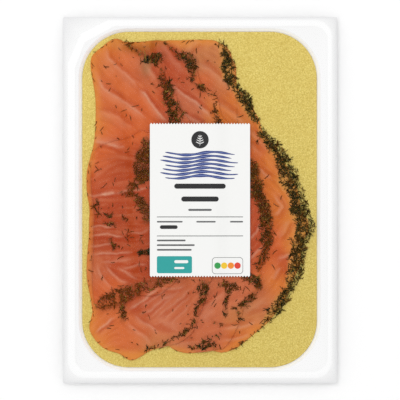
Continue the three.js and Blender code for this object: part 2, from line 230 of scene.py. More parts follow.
# %% [markdown]
# ## How high each layer lies
#
# The lowest slice lies on the board. Where a slice lies over others, each of them lifts it by one
# layer, and beyond their edges it eases down over 6 mm. The frame's solids follow this rule, so
# the same rule keeps each dressed slice in the space of its solid. It needs one measure: how far a
# place lies inside an outline.

# %% Flat maps, depth inside an outline, and heights
BOARD_TOP = 1.4
FISH_BOTTOM = 1.7
LAYER = 2.2  # a slice and the air over it
THICK = 1.9  # of a slice
RIM = 0.5  # what is left of its thickness at the very edge
ROLL = 3.0  # how far in from the edge its upper side rolls over
DRAPE = 6.0  # how far past a covered edge the slice above has come down
RIPPLE_HEIGHT, RIPPLE_ACROSS, RIPPLE_ALONG = 0.12, 8, 13
MAP_PITCH = 0.5
MAP_X = np.arange(-84, 84.01, MAP_PITCH)
MAP_Y = np.arange(-111, 111.01, MAP_PITCH)
map_x, map_y = np.meshgrid(MAP_X, MAP_Y)
CHUNK = 500  # places worked out at a time, which keeps the arrays small


def read_map(values, x, y):
    """The value of a flat map at any place, from the four nearest crossings of its grid."""
    u = np.clip((x - MAP_X[0]) / MAP_PITCH, 0, len(MAP_X) - 1.001)
    v = np.clip((y - MAP_Y[0]) / MAP_PITCH, 0, len(MAP_Y) - 1.001)
    i, j = u.astype(int), v.astype(int)
    s, t = u - i, v - j
    low = values[j, i] * (1 - s) + values[j, i + 1] * s
    high = values[j + 1, i] * (1 - s) + values[j + 1, i + 1] * s
    return low * (1 - t) + high * t


def blurred(values, passes):
    """Each pass mixes every place of a map with its neighbours, in the shares 1, 2 and 1."""
    for _ in range(passes):
        for axis in (0, 1):
            values = (np.roll(values, 1, axis) + 2 * values + np.roll(values, -1, axis)) / 4
    return values


def depth_inside(loop, x, y):
    """The distance from each place to the nearest side of the loop, positive inside it. A place
    is inside if a line from it towards +X crosses the loop an odd number of times."""
    ax, ay = loop.astype(np.float32).T
    sx, sy = np.roll(ax, -1) - ax, np.roll(ay, -1) - ay
    slope = sx / np.where(sy == 0, 1, sy)
    shape = np.shape(x)
    x, y = np.ravel(x).astype(np.float32), np.ravel(y).astype(np.float32)
    depth = np.empty(len(x))
    for start in range(0, len(x), CHUNK):
        px = x[start : start + CHUNK, None] - ax
        py = y[start : start + CHUNK, None] - ay
        along = np.clip((px * sx + py * sy) / (sx**2 + sy**2), 0, 1)
        away = ((px - along * sx) ** 2 + (py - along * sy) ** 2).min(1)
        crossing = ((py < 0) != (py < sy)) & (px < py * slope)
        depth[start : start + CHUNK] = np.where(crossing.sum(1) % 2, 1, -1) * np.sqrt(away)
    return depth.reshape(shape)


def smoothstep(value, low, high):
    """0 below low, 1 above high, and an even S between them."""
    t = np.clip((value - low) / (high - low), 0, 1)
    return t * t * (3 - 2 * t)


def ripple(x, y):
    """The slow waves that a limp slice keeps: a sine across times a cosine along."""
    return RIPPLE_HEIGHT * np.sin(x / RIPPLE_ACROSS) * np.cos(y / RIPPLE_ALONG)


def thickness(depth):
    """A cut edge rolls over as a quarter of an ellipse, from the rim's height to the full one."""
    inward = np.clip(depth / ROLL, 0, 1)
    return RIM + (THICK - RIM) * np.sqrt(1 - (1 - inward) ** 2)


rest_map = np.full(map_x.shape, FISH_BOTTOM)
top_map = np.full(map_x.shape, BOARD_TOP)
for slice_data in SLICES.values():
    depth = depth_inside(slice_data["loop"], map_x, map_y)
    top = rest_map + ripple(map_x, map_y) + thickness(np.maximum(depth, 0))
    top_map = np.where(depth > 0, np.maximum(top_map, top), top_map)
    slice_data.update(depth=depth, rest=rest_map)
    rest_map = rest_map + LAYER * smoothstep(depth, -DRAPE, 0)
print(f"maps of {top_map.size} places, fish up to {top_map.max():.2f} mm high")

# %% [markdown]
# ## Lines of fat and the grain of the flesh
#
# Salmon is built of blocks of red muscle with thin sheets of pale fat between them. A slice cuts
# these sheets, which then show as pale lines: broad and soft where the cut is slanting, and thin
# where it is steep. A texture of waves would look too regular, so the main lines are strokes
# laid where a real slice has them, and the fine grain between them is made from noise
# that is smeared along the direction of the nearest strokes.

# %% Strokes of fat: (half width on the sharp side and on the soft one, strength, points)
FAT_STROKES = [  # the sharp side is on the left of the stroke's direction
    # upper part, slanting down to the right
    (0.9, 4.2, 0.5, [(-57.4, 92.3), (-54.8, 85), (-49.5, 79.5), (-43.4, 74), (-39.4, 70.3), (-35.6, 66.2)]),
    (0.6, 2.4, 0.85, [(-37, 68), (-34, 65), (-31.4, 61.5), (-27.3, 55.3), (-22.1, 50.1), (-18.8, 46)]),
    (0.8, 2.9, 0.65, [(-62.8, 75.4), (-57.4, 67), (-51.6, 63), (-45.5, 58.7), (-39.2, 55.1), (-30.7, 46.5)]),
    (1.0, 3.4, 0.6, [(-63.3, 54.2), (-56.7, 52.5), (-49.6, 49.2), (-43.2, 45), (-39, 41)]),
    (1.8, 2.6, 0.55, [(-25, 96.4), (-19.6, 89.5), (-15.8, 84.7), (-12.4, 80), (-8.6, 74.8)]),
    (0.8, 2.6, 0.7, [(-18.8, 71.4), (-11.2, 64.2), (-4.2, 60.1), (0.2, 56.3), (4.8, 52.2), (7.2, 46.3)]),
    (1.2, 3.2, 0.55, [(-3, 83.7), (4.4, 79.3), (10.2, 74.6), (15.2, 70.9), (20.8, 65.1)]),
    (1.2, 2.4, 0.5, [(7.3, 61.1), (15.9, 55.5), (20.9, 52.1), (24.7, 48.7), (29, 44)]),
    (0.8, 2.2, 0.5, [(-11.6, 53.3), (-5.2, 49.2), (-0.2, 46.3), (3.8, 44.3)]),
    (1.5, 2.6, 0.45, [(0, 97), (-5, 91.5), (-8, 88)]),
    (1.2, 1.6, 0.7, [(-31.6, 80.5), (-29, 76), (-26, 71.5)]),
    # left of the label
    (0.7, 3.2, 0.75, [(-46.2, 31.9), (-50, 33), (-54.4, 33.9), (-59.6, 34.6), (-65.5, 35.8)]),
    (0.5, 0.5, 0.45, [(-54, 33.6), (-49.6, 32.1), (-44.2, 31.4)]),
    (0.5, 0.6, 0.55, [(-55.2, 4.2), (-58.7, 3.8), (-62.8, 2.7), (-68.2, 3.1)]),
    (0.6, 1.2, 1.0, [(-50.1, 4.1), (-52.6, 4.4), (-54.6, 4.2), (-57.2, 3.8), (-60.9, 2.9)]),
    (0.45, 0.5, 0.6, [(-29, 7.8), (-36, 6.5), (-39.7, 6.2), (-44.9, 5.2), (-49.8, 3.9), (-52.4, 3.9)]),
    (1.0, 2.4, 0.3, [(-52, 21.2), (-58, 18.2), (-64.1, 13.9)]),
    (0.4, 0.6, 0.6, [(-50.8, -16.2), (-55.2, -16.5), (-60, -16), (-63.8, -16.3), (-67.2, -17.8)]),
    (0.4, 0.6, 0.6, [(-44, -21.7), (-49.8, -22.1), (-55.2, -20.8), (-61.4, -20.9), (-63.8, -21.3),
                     (-66.9, -23.3)]),
    (0.5, 0.7, 0.5, [(-51.5, -27), (-56.6, -26.6), (-62.1, -27.5), (-66.6, -28)]),
    (0.45, 0.6, 0.65, [(-38.7, -31.2), (-45.6, -31.8), (-53.8, -32), (-58.7, -32.2), (-65.1, -33.1)]),
    (0.4, 0.5, 0.4, [(-42.8, -19.3), (-36.3, -19.7), (-32.8, -18.4), (-29, -17.3)]),
    (0.4, 0.8, 0.4, [(-60.4, -36.6), (-54.6, -37.2), (-49.8, -36.8), (-44.9, -35.9), (-38.7, -34.2)]),
    (0.4, 1.2, 0.5, [(-57.3, -37.9), (-52.4, -44.2), (-48.4, -47.6), (-42.8, -50.5)]),
    (0.4, 0.8, 0.5, [(-50, -39.9), (-44.2, -43.2), (-41.1, -46), (-36.3, -47.6)]),
    (0.45, 0.9, 0.45, [(-48.6, -41.2), (-42.8, -40.9), (-39.4, -39.4), (-36.3, -38.3), (-29.8, -38)]),
    (0.9, 2.2, 0.4, [(-62, -38), (-59.6, -44.9), (-56.2, -49.9), (-51.1, -53.7)]),
    # lower left, a fan that spreads from the upper right
    (0.5, 1.6, 0.7, [(-23.1, -53.4), (-27.7, -55.6), (-32.3, -59.4), (-37.8, -63.4), (-44.4, -66.7)]),
    (0.4, 1.0, 0.45, [(-6.9, -50.6), (-13.9, -53.6), (-19, -53.5), (-25, -54.2)]),
    (0.5, 1.6, 0.45, [(-12.9, -54.8), (-18.5, -58), (-24.9, -61.4), (-30.9, -66.7), (-37.8, -69)]),
    (0.6, 2.0, 0.35, [(-2.8, -50.6), (-8.4, -56.1), (-14.8, -61.4), (-20.8, -65.5), (-28.7, -73.2)]),
    (0.4, 1.6, 0.5, [(-40.6, -68.3), (-34.2, -73.4), (-28.6, -76.8), (-24, -80.4)]),
    (0.5, 2.2, 0.45, [(-45.3, -73.1), (-37.8, -78.8), (-31.4, -83), (-26.7, -86)]),
    (0.3, 0.5, 0.4, [(-38.5, -66.5), (-28, -59.4), (-17, -52.6)]),
    (0.3, 0.5, 0.4, [(-30.5, -70), (-20.5, -61), (-11, -53)]),
    (0.3, 0.5, 0.4, [(-24, -74), (-14.4, -64.6), (-4, -56)]),
    (0.3, 0.5, 0.35, [(-21, -78), (-12, -68.6), (-3, -60)]),
    (0.3, 0.4, 0.8, [(-51, -69.2), (-54.3, -72.3), (-63.1, -80.3)]),
    (1.5, 3.6, 0.45, [(-13.6, -79.3), (-18, -75.5), (-22, -72.5), (-27, -69.8)]),
    (1.3, 2.2, 0.35, [(-28.7, -87.3), (-18.5, -88.1), (-9.3, -86.2), (1, -85)]),
    # lower right
    (1.0, 2.0, 0.5, [(-0.2, -66.4), (6.4, -62.1), (11.9, -57), (16.6, -54.8)]),
    (2.6, 3.2, 0.5, [(0, -72.5), (4, -67.5), (9, -64)]),
    (0.7, 1.2, 0.45, [(12.7, -77.2), (24.7, -75.8), (34.9, -72.7)]),
    (0.7, 1.2, 0.45, [(12.2, -84.7), (24, -82.7), (31, -80)]),
    (1.0, 2.6, 0.45, [(41.8, -59.6), (33.9, -63.9), (24.8, -68.2)]),
    # right of the label, along the crusts
    (1.2, 2.0, 0.5, [(29.2, 43.8), (34.4, 37.9), (37.4, 34.1), (41, 28.4)]),
    (1.2, 2.0, 0.45, [(29.2, 35), (33.6, 30.4), (38, 25.4)]),
    (0.8, 1.8, 0.4, [(34.2, 19.6), (39.4, 15.1), (43.4, 12.6)]),
    (0.8, 1.4, 0.45, [(43.7, 4), (47.8, -0.5), (50.1, -3.8), (47.8, -7.7), (43.7, -9.6)]),
    (1.0, 2.6, 0.6, [(54.6, -11.3), (50.6, -18.9), (46.6, -24.3)]),
    (0.5, 1.4, 0.55, [(54.5, -33.3), (50.5, -34), (46.8, -34.4)]),
    (0.7, 2.0, 0.4, [(49.2, -39.3), (45.9, -43.9), (43.6, -48.6)]),
    (0.35, 0.4, 0.75, [(29.2, -24), (33.6, -19.1), (35.7, -13)]),
    (0.35, 0.4, 0.75, [(29.6, -36.2), (33.6, -31.3), (38, -27)]),
]
SAMPLE = 0.5  # distance between the samples taken along a stroke
WASH = 0.5  # strength of the soft spread to both sides of a stroke
CORE, CORE_WASH = 0.7, 0.65  # half width and strength of the clear line in a narrow stroke
NARROW = 1  # a stroke with less than this on its sharp side has a clear line
DEEP_GAP = 0.8  # the flesh is deeper red this far off a stroke's sharp side
EVERY = 3  # one sample in so many is enough to tell the direction of the grain
FADED = 2.5  # reaches of a stroke, past which its bell curve is as good as nothing
TAPER = 0.25  # share of a stroke at either end over which it fades
CORNER_PASSES = 4  # each softens the corners of a path a little more


def along_path(points, spacing):
    """Evenly spaced places along a path of straight pieces, softened where they meet, with the
    direction at each place and its share of the way."""
    p = np.asarray(points, float)
    reach = np.concatenate([[0], np.cumsum(np.linalg.norm(np.diff(p[:, :2], axis=0), axis=1))])
    count = max(3, int(reach[-1] / spacing) + 1)
    way = np.linspace(0, reach[-1], count)
    places = np.stack([np.interp(way, reach, column) for column in p.T], -1)
    for _ in range(CORNER_PASSES):
        places[1:-1] = (places[:-2] + 2 * places[1:-1] + places[2:]) / 4
    slope = np.gradient(places[:, :2], axis=0)
    return places, slope / np.linalg.norm(slope, axis=1)[:, None], way / reach[-1]


def window_round(places, margin):
    """The part of the maps that holds these places and a margin round them."""
    low, high = places[:, :2].min(0) - margin, places[:, :2].max(0) + margin
    columns = np.searchsorted(MAP_X, (low[0], high[0]))
    rows = np.searchsorted(MAP_Y, (low[1], high[1]))
    return slice(rows[0], rows[1]), slice(columns[0], columns[1])


def nearest(places, x, y):
    """For each place of a map the number of the nearest path place, and the distance to it."""
    away = np.hypot(x[..., None] - places[:, 0], y[..., None] - places[:, 1])
    return away.argmin(-1), away.min(-1)


def taper(share):
    """Rises from 0 at the start of a stroke and falls to 0 at its end."""
    return smoothstep(np.minimum(share, 1 - share), 0, TAPER)


random = np.random.default_rng(3)


def wander(size, passes):
    """A smooth random map: noise, blurred and scaled so that its spread is the size."""
    values = blurred(random.standard_normal(map_x.shape), passes)
    return size * values / values.std()


SLOW_BEND, FINE_BEND = (0.28, 24), (0.08, 3)  # (spread in mm, passes of blurring)


def bent(values):
    """A map of places moved a little, slowly and then finely, so that no stroke is even."""
    return values + wander(*SLOW_BEND) + wander(*FINE_BEND)


bent_x, bent_y = bent(map_x), bent(map_y)
pale_map = np.zeros(map_x.shape)
deep_map = np.zeros(map_x.shape)
fat_rows = []
for sharp, soft, strength, points in FAT_STROKES:
    places, slope, share = along_path(points, SAMPLE)
    window = window_round(places, FADED * max(sharp, soft))
    x, y = bent_x[window], bent_y[window]
    index, gap = nearest(places, x, y)
    left = slope[index, 0] * (y - places[index, 1]) - slope[index, 1] * (x - places[index, 0])
    amount = strength * taper(share[index])
    pale = WASH * amount * np.exp(-((gap / np.where(left > 0, 0.7 * sharp, soft)) ** 2))
    if sharp < NARROW:
        pale += CORE_WASH * amount * np.exp(-((gap / CORE) ** 2))
    off = (gap - 1.3 * sharp - DEEP_GAP) / (DEEP_GAP + sharp)
    deep = amount * (left > 0) * np.exp(-(off**2))
    pale_map[window] = np.maximum(pale_map[window], pale)
    deep_map[window] = np.maximum(deep_map[window], deep)
    fat_rows.append(np.column_stack([places, slope])[::EVERY])
fat_samples = np.concatenate(fat_rows)
print(len(FAT_STROKES), "strokes of fat")

# %% [markdown]
# The grain is worked out once, on a flat map of the whole pack. The direction at each place is the
# mean of the strokes' directions, weighted by the inverse cube of the distance. A direction has
# no front or back, so twice its angle is averaged. Noise is then averaged along short paths that
# follow the directions, which draws it out into soft fibres, and coarser noise into streaks.

# %% A map of the grain
FIBRE_REACH, STREAK_REACH = 4.0, 9.0  # how far the noise is drawn out, each way
NEAR = 4  # mm2, keeps the weight of a stroke finite where the place lies on it
FLOW_PASSES = 4


def drawn_out(noise, reach):
    """Each place takes the mean of the noise along a path through it that follows the flow."""
    total = np.zeros_like(noise)
    for sign in (-1, 1):
        x, y = map_x.copy(), map_y.copy()
        last = sign * np.stack([flow_x, flow_y])
        for _ in range(int(reach / MAP_PITCH)):
            step = np.stack([read_map(flow_x, x, y), read_map(flow_y, x, y)])
            step *= np.sign((step * last).sum(0) + 1e-9) * MAP_PITCH
            x, y, last = x + step[0], y + step[1], step
            total += read_map(noise, x, y)
    return (total - total.mean()) / total.std()


twice = 2 * np.arctan2(fat_samples[:, 3], fat_samples[:, 2])
turn = [np.zeros(map_x.shape), np.zeros(map_x.shape)]
for row in range(len(MAP_Y)):
    square = (MAP_X[:, None] - fat_samples[:, 0]) ** 2 + (MAP_Y[row] - fat_samples[:, 1]) ** 2
    weight = 1 / (square + NEAR) ** 1.5
    turn[0][row] = weight @ np.cos(twice)
    turn[1][row] = weight @ np.sin(twice)
flow = np.arctan2(blurred(turn[1], FLOW_PASSES), blurred(turn[0], FLOW_PASSES)) / 2
flow_x, flow_y = np.cos(flow), np.sin(flow)
grain_map = drawn_out(wander(1, 1), FIBRE_REACH)
streak_map = drawn_out(wander(1, 8), STREAK_REACH)
print("grain and streaks drawn out along", len(fat_samples), "directions")

# %% [markdown]
# ## Where the dill lies
#
# The side of salmon is cured under a layer of chopped dill, so each slice has a dark crust along
# one edge, and the slices show these edges as bands. Clumps have come loose and lie on the flesh.
# The bands are again strokes, with a half width at each point, and each band has its own density
# in needles per square millimetre. They steer both the needles and the stain under them, which is
# juice together with painted shade between the needles.

# %% Strokes of dill: (needles per mm2, how brown, points with their half widths)
DILL_STROKES = [
    # the right edge of the lowest slice
    (1.2, 0.1, [(13, 94.3, 2.1), (14.7, 89.5, 3.1), (15.3, 85.3, 2.2)]),
    (1.9, 0.05, [(15.3, 85.3, 2.2), (17.1, 82.9, 4.3), (16.7, 80.5, 4.8), (17.4, 77.5, 3.5),
                 (17.4, 73.9, 3.6), (18.3, 70.9, 2.1)]),
    (1.5, 0.05, [(18.3, 70.9, 2.1), (20.9, 68.5, 3.3), (23.1, 65.5, 3), (25.7, 61.9, 3.5),
                 (27.5, 59.5, 3.7), (29, 55.9, 3.3), (30.9, 52.3, 2.6), (32.1, 49.3, 2.4),
                 (33.9, 47.5, 0.9)]),
    (0.8, 0.1, [(34.4, 47, 0.6), (36.4, 43.5, 0.8), (37.2, 40.3, 2.2)]),
    (1.5, 0.1, [(37.2, 40.3, 2.3), (40.5, 37.3, 3.1), (43, 33.9, 3.9), (46.2, 29.5, 3.6), (48.6, 26.5, 4.1),
                (50.7, 22.9, 4.9)]),
    (1.8, 0.1, [(50.7, 22.9, 5), (52.5, 19.3, 5), (53.2, 16.3, 6), (52.8, 13.3, 6.1), (54.3, 9.7, 5.9),
                (57.3, 6.1, 4.4)]),
    (1.9, 0.05, [(57.3, 6.1, 4.8), (58.2, 2.5, 4.6), (59.1, -1.1, 5.2), (59.1, -4.7, 4.9), (58.8, -8.3, 4.8),
                 (63, -11.3, 5.6), (63.3, -14.3, 5.6), (63, -17.3, 5.4), (60.6, -23.9, 4.6)]),
    (1.75, 0.1, [(60.6, -23.9, 4.9), (59.7, -29.9, 4.5), (57.9, -35.9, 4.9), (57.3, -41.9, 4.6),
                 (55.8, -47.9, 4.2), (54, -53.9, 2.8)]),
    (1.2, 0.1, [(54, -53.9, 2.8), (49.2, -59.9, 3.3), (46.8, -64.1, 3.8), (42.6, -68.3, 3.5),
                (40.2, -71.9, 2.5), (38.2, -75.6, 1.6)]),
    (0.5, 0.2, [(38.2, -75.6, 0.9), (34, -79.4, 0.7), (25, -86, 0.7), (19, -90, 0.6)]),
    # the right edge of the second slice
    (1.8, 0.3, [(-21.6, 95.2, 0.4), (-19.2, 92.5, 0.5), (-16.4, 89.7, 0.9)]),
    (1.6, 0.3, [(-14.5, 88, 1.6), (-8.6, 85.4, 3.8), (-4.4, 83.9, 3.6), (-5.4, 79.5, 3.2), (-4.6, 75, 1.9),
                (-4.6, 71, 1.4)]),
    (1.9, 0.4, [(-2.6, 69.8, 1.1), (0.6, 67.4, 2.1), (3.6, 65.5, 0.8)]),
    (0.6, 0.3, [(5, 63.9, 1.2), (8.4, 62.3, 1.2)]),
    (1.4, 0.5, [(8.2, 57.3, 0.7), (9.6, 51.7, 1.5), (11.4, 45.5, 2.8)]),
    (1.8, 0.45, [(30.9, 23.5, 2.6), (31.5, 16.9, 3.8), (33, 11.5, 4.1), (33.6, 6.1, 3.4), (34.8, 1.9, 3.3),
                 (37.8, -1.7, 4.1), (39, -5.9, 3.6), (39.6, -10.1, 3.6), (39.9, -14.9, 3.8),
                 (39.3, -20.3, 3.4), (39.9, -23.9, 3.6), (39.6, -28.7, 3.2), (39.3, -32.3, 2.4)]),
    (1.5, 0.45, [(39.3, -32.3, 2.4), (36.6, -35.9, 2.4), (34.8, -40.7, 1.9)]),
    (1.6, 0.35, [(25.8, -46.4, 1.6), (30, -47.5, 2.2), (34.2, -48.7, 3.3), (35.2, -53, 2.2)]),
    (1.5, 0.35, [(32.2, -57.3, 2.2), (28.2, -60.5, 2.6), (24.2, -63, 2)]),
    (1.4, 0.35, [(20.8, -64.5, 0.8), (23, -67.6, 1.4), (24.2, -70.2, 0.9)]),
    # clumps on the second slice, below the label
    (1.5, 0.4, [(10.6, -51.8, 0.8), (15, -50.2, 1.8), (19.8, -51, 1.6), (22.6, -53, 1)]),
    (1.2, 0.45, [(17.4, -53.3, 1.8), (16.2, -57.5, 1.6), (15, -62.9, 1.4), (15, -69.3, 1.4)]),
    (0.7, 0.5, [(7.6, -71.7, 0.6), (12, -74, 1.2), (15.6, -74.4, 0.8)]),
    (0.9, 0.25, [(-4.6, -88.9, 1.2), (1.8, -86.7, 3), (6, -83.9, 4.2), (8.6, -87.3, 2.6)]),
    (1.0, 0.3, [(8.6, -81.6, 1), (12.4, -81.4, 1.8)]),
    # the right edge of the third slice
    (0.9, 0.4, [(-44.4, 94.9, 0.7), (-40.2, 91.3, 1.1), (-35.4, 87.1, 1.6)]),
    (1.8, 0.15, [(-33, 84.4, 1.8), (-29.4, 83.9, 3), (-26, 85, 3.9), (-22.6, 85.8, 3.5)]),
    (1.5, 0.3, [(-22.5, 78.1, 2.1), (-22.9, 72.1, 2.5), (-20.1, 68.1, 3.5), (-18.6, 64.1, 3.3),
                (-18.9, 60.1, 2.7), (-15.7, 56.1, 3.6), (-14.1, 52.1, 4.4), (-14.1, 45.5, 4.4)]),
    (1.3, 0.25, [(1.8, -49.8, 3.6), (1.6, -54.5, 3.6), (1.8, -59.9, 2.8), (-1.2, -63.7, 1.9),
                 (-2.4, -67.3, 2.2)]),
    (1.0, 0.35, [(-2.4, -67.3, 1.6), (-3.2, -71.9, 1.2), (-5.6, -76.9, 1.2), (-10.2, -79.7, 2.1)]),
    (0.6, 0.35, [(-10.2, -79.7, 2), (-14.4, -81.7, 1.6), (-19.2, -85.1, 1.6), (-26.8, -87.4, 2),
                 (-32, -89.3, 1.5)]),
    # the patch left of the label
    (1.4, 0.75, [(-32.2, 35.5, 2.6), (-32.6, 31.3, 3.2), (-33.6, 27.1, 4.4), (-34.6, 21.1, 5.8),
                 (-34.8, 15.7, 4.8), (-36, 12.1, 3.6)]),
    (1.1, 0.75, [(-34.2, 14.5, 3), (-38.4, 10.3, 2.8), (-42.6, 7.3, 2.2)]),
    (0.8, 0.85, [(-47.4, 4.3, 1.4), (-42, 3.1, 2), (-37, 1.3, 2.6)]),
    (1.4, 0.75, [(-37, 1.3, 2.6), (-34.2, -2.3, 3.6), (-32.4, -7.1, 3.2), (-31.8, -12, 2.8)]),
    (2.0, 0.15, [(-37.4, -31.2, 1), (-33.6, -31, 2), (-29, -31, 2.2)]),
    (2.0, 0.2, [(-57.4, -8.5, 0.6), (-53.6, -9.9, 0.7)]),
    (1.2, 0.4, [(-54.6, -13.8, 1.5), (-51, -14.8, 1.5)]),
    (1.1, 0.4, [(-46.2, -11, 1.2), (-43.8, -11.6, 1.2)]),
    (1.0, 0.5, [(-54.4, -24.6, 1.6), (-52.4, -26.6, 1.2), (-49.6, -28.2, 0.5)]),
    (0.45, 0.5, [(-63, -1.6, 2.6), (-60.4, -8.6, 2.6)]),
    # the lower edge of the highest slice
    (0.85, 0.8, [(-62, -64.9, 1.6), (-59, -62.5, 4.6), (-54.6, -60.9, 5.4), (-49.6, -58.6, 5.4),
                (-44.4, -56, 5.2), (-39.4, -54.2, 4.4), (-34, -52.4, 3.8)]),
    (0.9, 0.75, [(-34, -52.4, 3.8), (-29, -50.3, 3.6), (-24, -49.1, 2.8), (-18, -48, 1.8),
                 (-12.5, -47.9, 1.3)]),
    (0.9, 0.6, [(-46, -59, 2.8), (-46.4, -65, 2.2), (-46.4, -71.5, 2.4)]),
]
DENSE = 1.5  # needles per mm2 in a band that hides the flesh
BAND_END, BAND_FULL = 1.3, 0.5  # half widths from its middle, where a band ends and where it is full
BAND_ROOM = 1.5  # half widths from its middle that are worked out, with room for uneven edges
STAIN_AND_SHADE_LEAST, JUICE_RISE = 0.1, 1.2  # painted shade and stain under green dill, and how the stain grows as the dill browns
HARDLY_BROWN = 0.15  # a band less brown than this lies on the thinnest flesh, a pale orange

dill_rows = []
width_map = np.zeros(map_x.shape)  # half width of the band at each place
juice_and_shade_map = np.zeros(map_x.shape)  # how far dill has stained the flesh, with painted shade between its needles
thin_map = np.zeros(map_x.shape)  # where a crust lies on the thinnest flesh
for density, brown, points in DILL_STROKES:
    places, slope, share = along_path(points, SAMPLE)
    extras = np.tile([density, brown], (len(share), 1))
    dill_rows.append(np.column_stack([places, slope, extras]))
    window = window_round(places, BAND_ROOM * places[:, 2].max())
    index, gap = nearest(places, bent_x[window], bent_y[window])
    cover = smoothstep(-gap / places[index, 2], -BAND_END, -BAND_FULL) * min(density / DENSE, 1)
    width_map[window] = np.maximum(width_map[window], cover * places[index, 2])
    juice_and_shade_map[window] = np.maximum(juice_and_shade_map[window], cover * min(STAIN_AND_SHADE_LEAST + JUICE_RISE * brown, 1))
    if brown < HARDLY_BROWN:
        thin_map[window] = np.maximum(thin_map[window], cover)
dill_samples = np.concatenate(dill_rows)
clump_map = wander(1, 9)
print(len(DILL_STROKES), "strokes of dill,", len(dill_samples), "samples")

# %% [markdown]
# ## The four slices
#
# Each slice is a star of rings round its middle: rings on the underside from the middle out to
# the rim, and rings on the upper side back to the middle, close together at the rim, where the
# form rolls over. Clay-like sculpting could do the same, but the rings keep the outline exact and
# let the heights come from the rules above, so the slices drape without touching.

# %% Meshes of the slices
SPOKES = 640  # points on each ring
RIM_RINGS = np.array([0, 0.15, 0.4, 0.8, 1.3, 1.9, 2.6])  # mm in from the rim
INNER_RINGS, INNERMOST = 118, 0.008  # the last ring's share of the way from the middle to the rim
UNDER_RINGS, FIRST_UNDER = 9, 0.03  # the same for the underside's first ring
UNDER_POWER = 0.7  # under 1 puts the underside's rings closer together towards the rim
CRUST = 0.8  # share of a band's half width at an edge that is dill only
CRUST_DEPTHS = (1, 2, 3, 4)  # mm in from the edge, where the width of a band is read
EVEN_PASSES = 6  # each evens out the width of the crust along the edge
GRAIN_RELIEF = 0.015
FAT_RELIEF = 0.02
FLAT_RIM = 2  # mm in from the edge, where the relief has come up to its full height
SETTLE = 0.05  # a slice lies this much under its rest height, clear of the one above


def spoke_ends(loop):
    """The slice's edge, sampled at equal distances along it."""
    closed = np.concatenate([loop, loop[:1]])
    reach = np.concatenate([[0], np.cumsum(np.linalg.norm(np.diff(closed, axis=0), axis=1))])
    way = np.linspace(0, reach[-1], SPOKES, endpoint=False)
    return np.stack([np.interp(way, reach, column) for column in closed.T], -1)


def crust_width(ends, outward):
    """How wide the dill is at each point of the edge, where it takes the place of flesh."""
    inward = -outward / np.linalg.norm(outward, axis=1)[:, None]
    inside = [ends + depth * inward for depth in CRUST_DEPTHS]
    width = CRUST * np.max([read_map(width_map, place[:, 0], place[:, 1]) for place in inside], 0)
    for _ in range(EVEN_PASSES):
        width = (np.roll(width, 1) + 2 * width + np.roll(width, -1)) / 4
    return width


def slice_piece(name, slice_data):
    """Rings of a slice: underside at its rest height, upper side one thickness over it. The
    relief of the grain and the dips of the fat fade out towards the rim."""
    middle = np.array(slice_data["middle"], float)
    ends = spoke_ends(slice_data["loop"])
    outward = ends - middle
    width = crust_width(ends, outward)
    near_rim = 1 - (RIM_RINGS[:, None] + width) / np.linalg.norm(outward, axis=1)
    inner = np.linspace(1, INNERMOST, INNER_RINGS)[:, None] * near_rim[-1]
    upper = np.concatenate([near_rim, inner[1:]])
    lower = np.linspace(FIRST_UNDER, 1, UNDER_RINGS)[:, None] ** UNDER_POWER * near_rim[0]
    shares = np.concatenate([lower, upper])
    places = middle + shares[..., None] * outward
    x, y = places[..., 0].ravel(), places[..., 1].ravel()
    depth = np.maximum(read_map(slice_data["depth"], x, y) - np.tile(width, len(shares)), 0)
    depth[UNDER_RINGS * SPOKES : (UNDER_RINGS + 1) * SPOKES] = 0  # the upper side's first ring
    relief = GRAIN_RELIEF * read_map(grain_map, x, y) - FAT_RELIEF * read_map(pale_map, x, y)
    is_upper = np.repeat(np.arange(len(shares)) >= UNDER_RINGS, SPOKES)
    z = read_map(slice_data["rest"], x, y) + ripple(x, y) - SETTLE
    z += is_upper * (thickness(depth) + relief * smoothstep(depth, 0, FLAT_RIM))
    rings = np.stack([x, y, z], -1).reshape(len(shares), SPOKES, 3)
    start, end = rings[0].mean(0), rings[-1].mean(0)
    piece = ringed_piece(name + "_flesh", start, rings, end, [name])
    return piece, np.concatenate([[start], rings.reshape(-1, 3), [end]])


flesh = {name: slice_piece(name, slice_data) for name, slice_data in SLICES.items()}

# %% [markdown]
# ## The colours of the flesh
#
# Cured salmon isn't one colour. The thin edges and the strip beside the skin are orange, the
# thick middle is red, and the belly is pink. A painter would lay these fields first and blend
# their borders, and so does this cell: each field has a colour, a place and a reach, and a point
# takes the mean of the fields, weighted by a bell curve of its distance to each. The flesh beside
# the fat, in the streaks, at thin edges and under the palest crusts is then shifted a little.

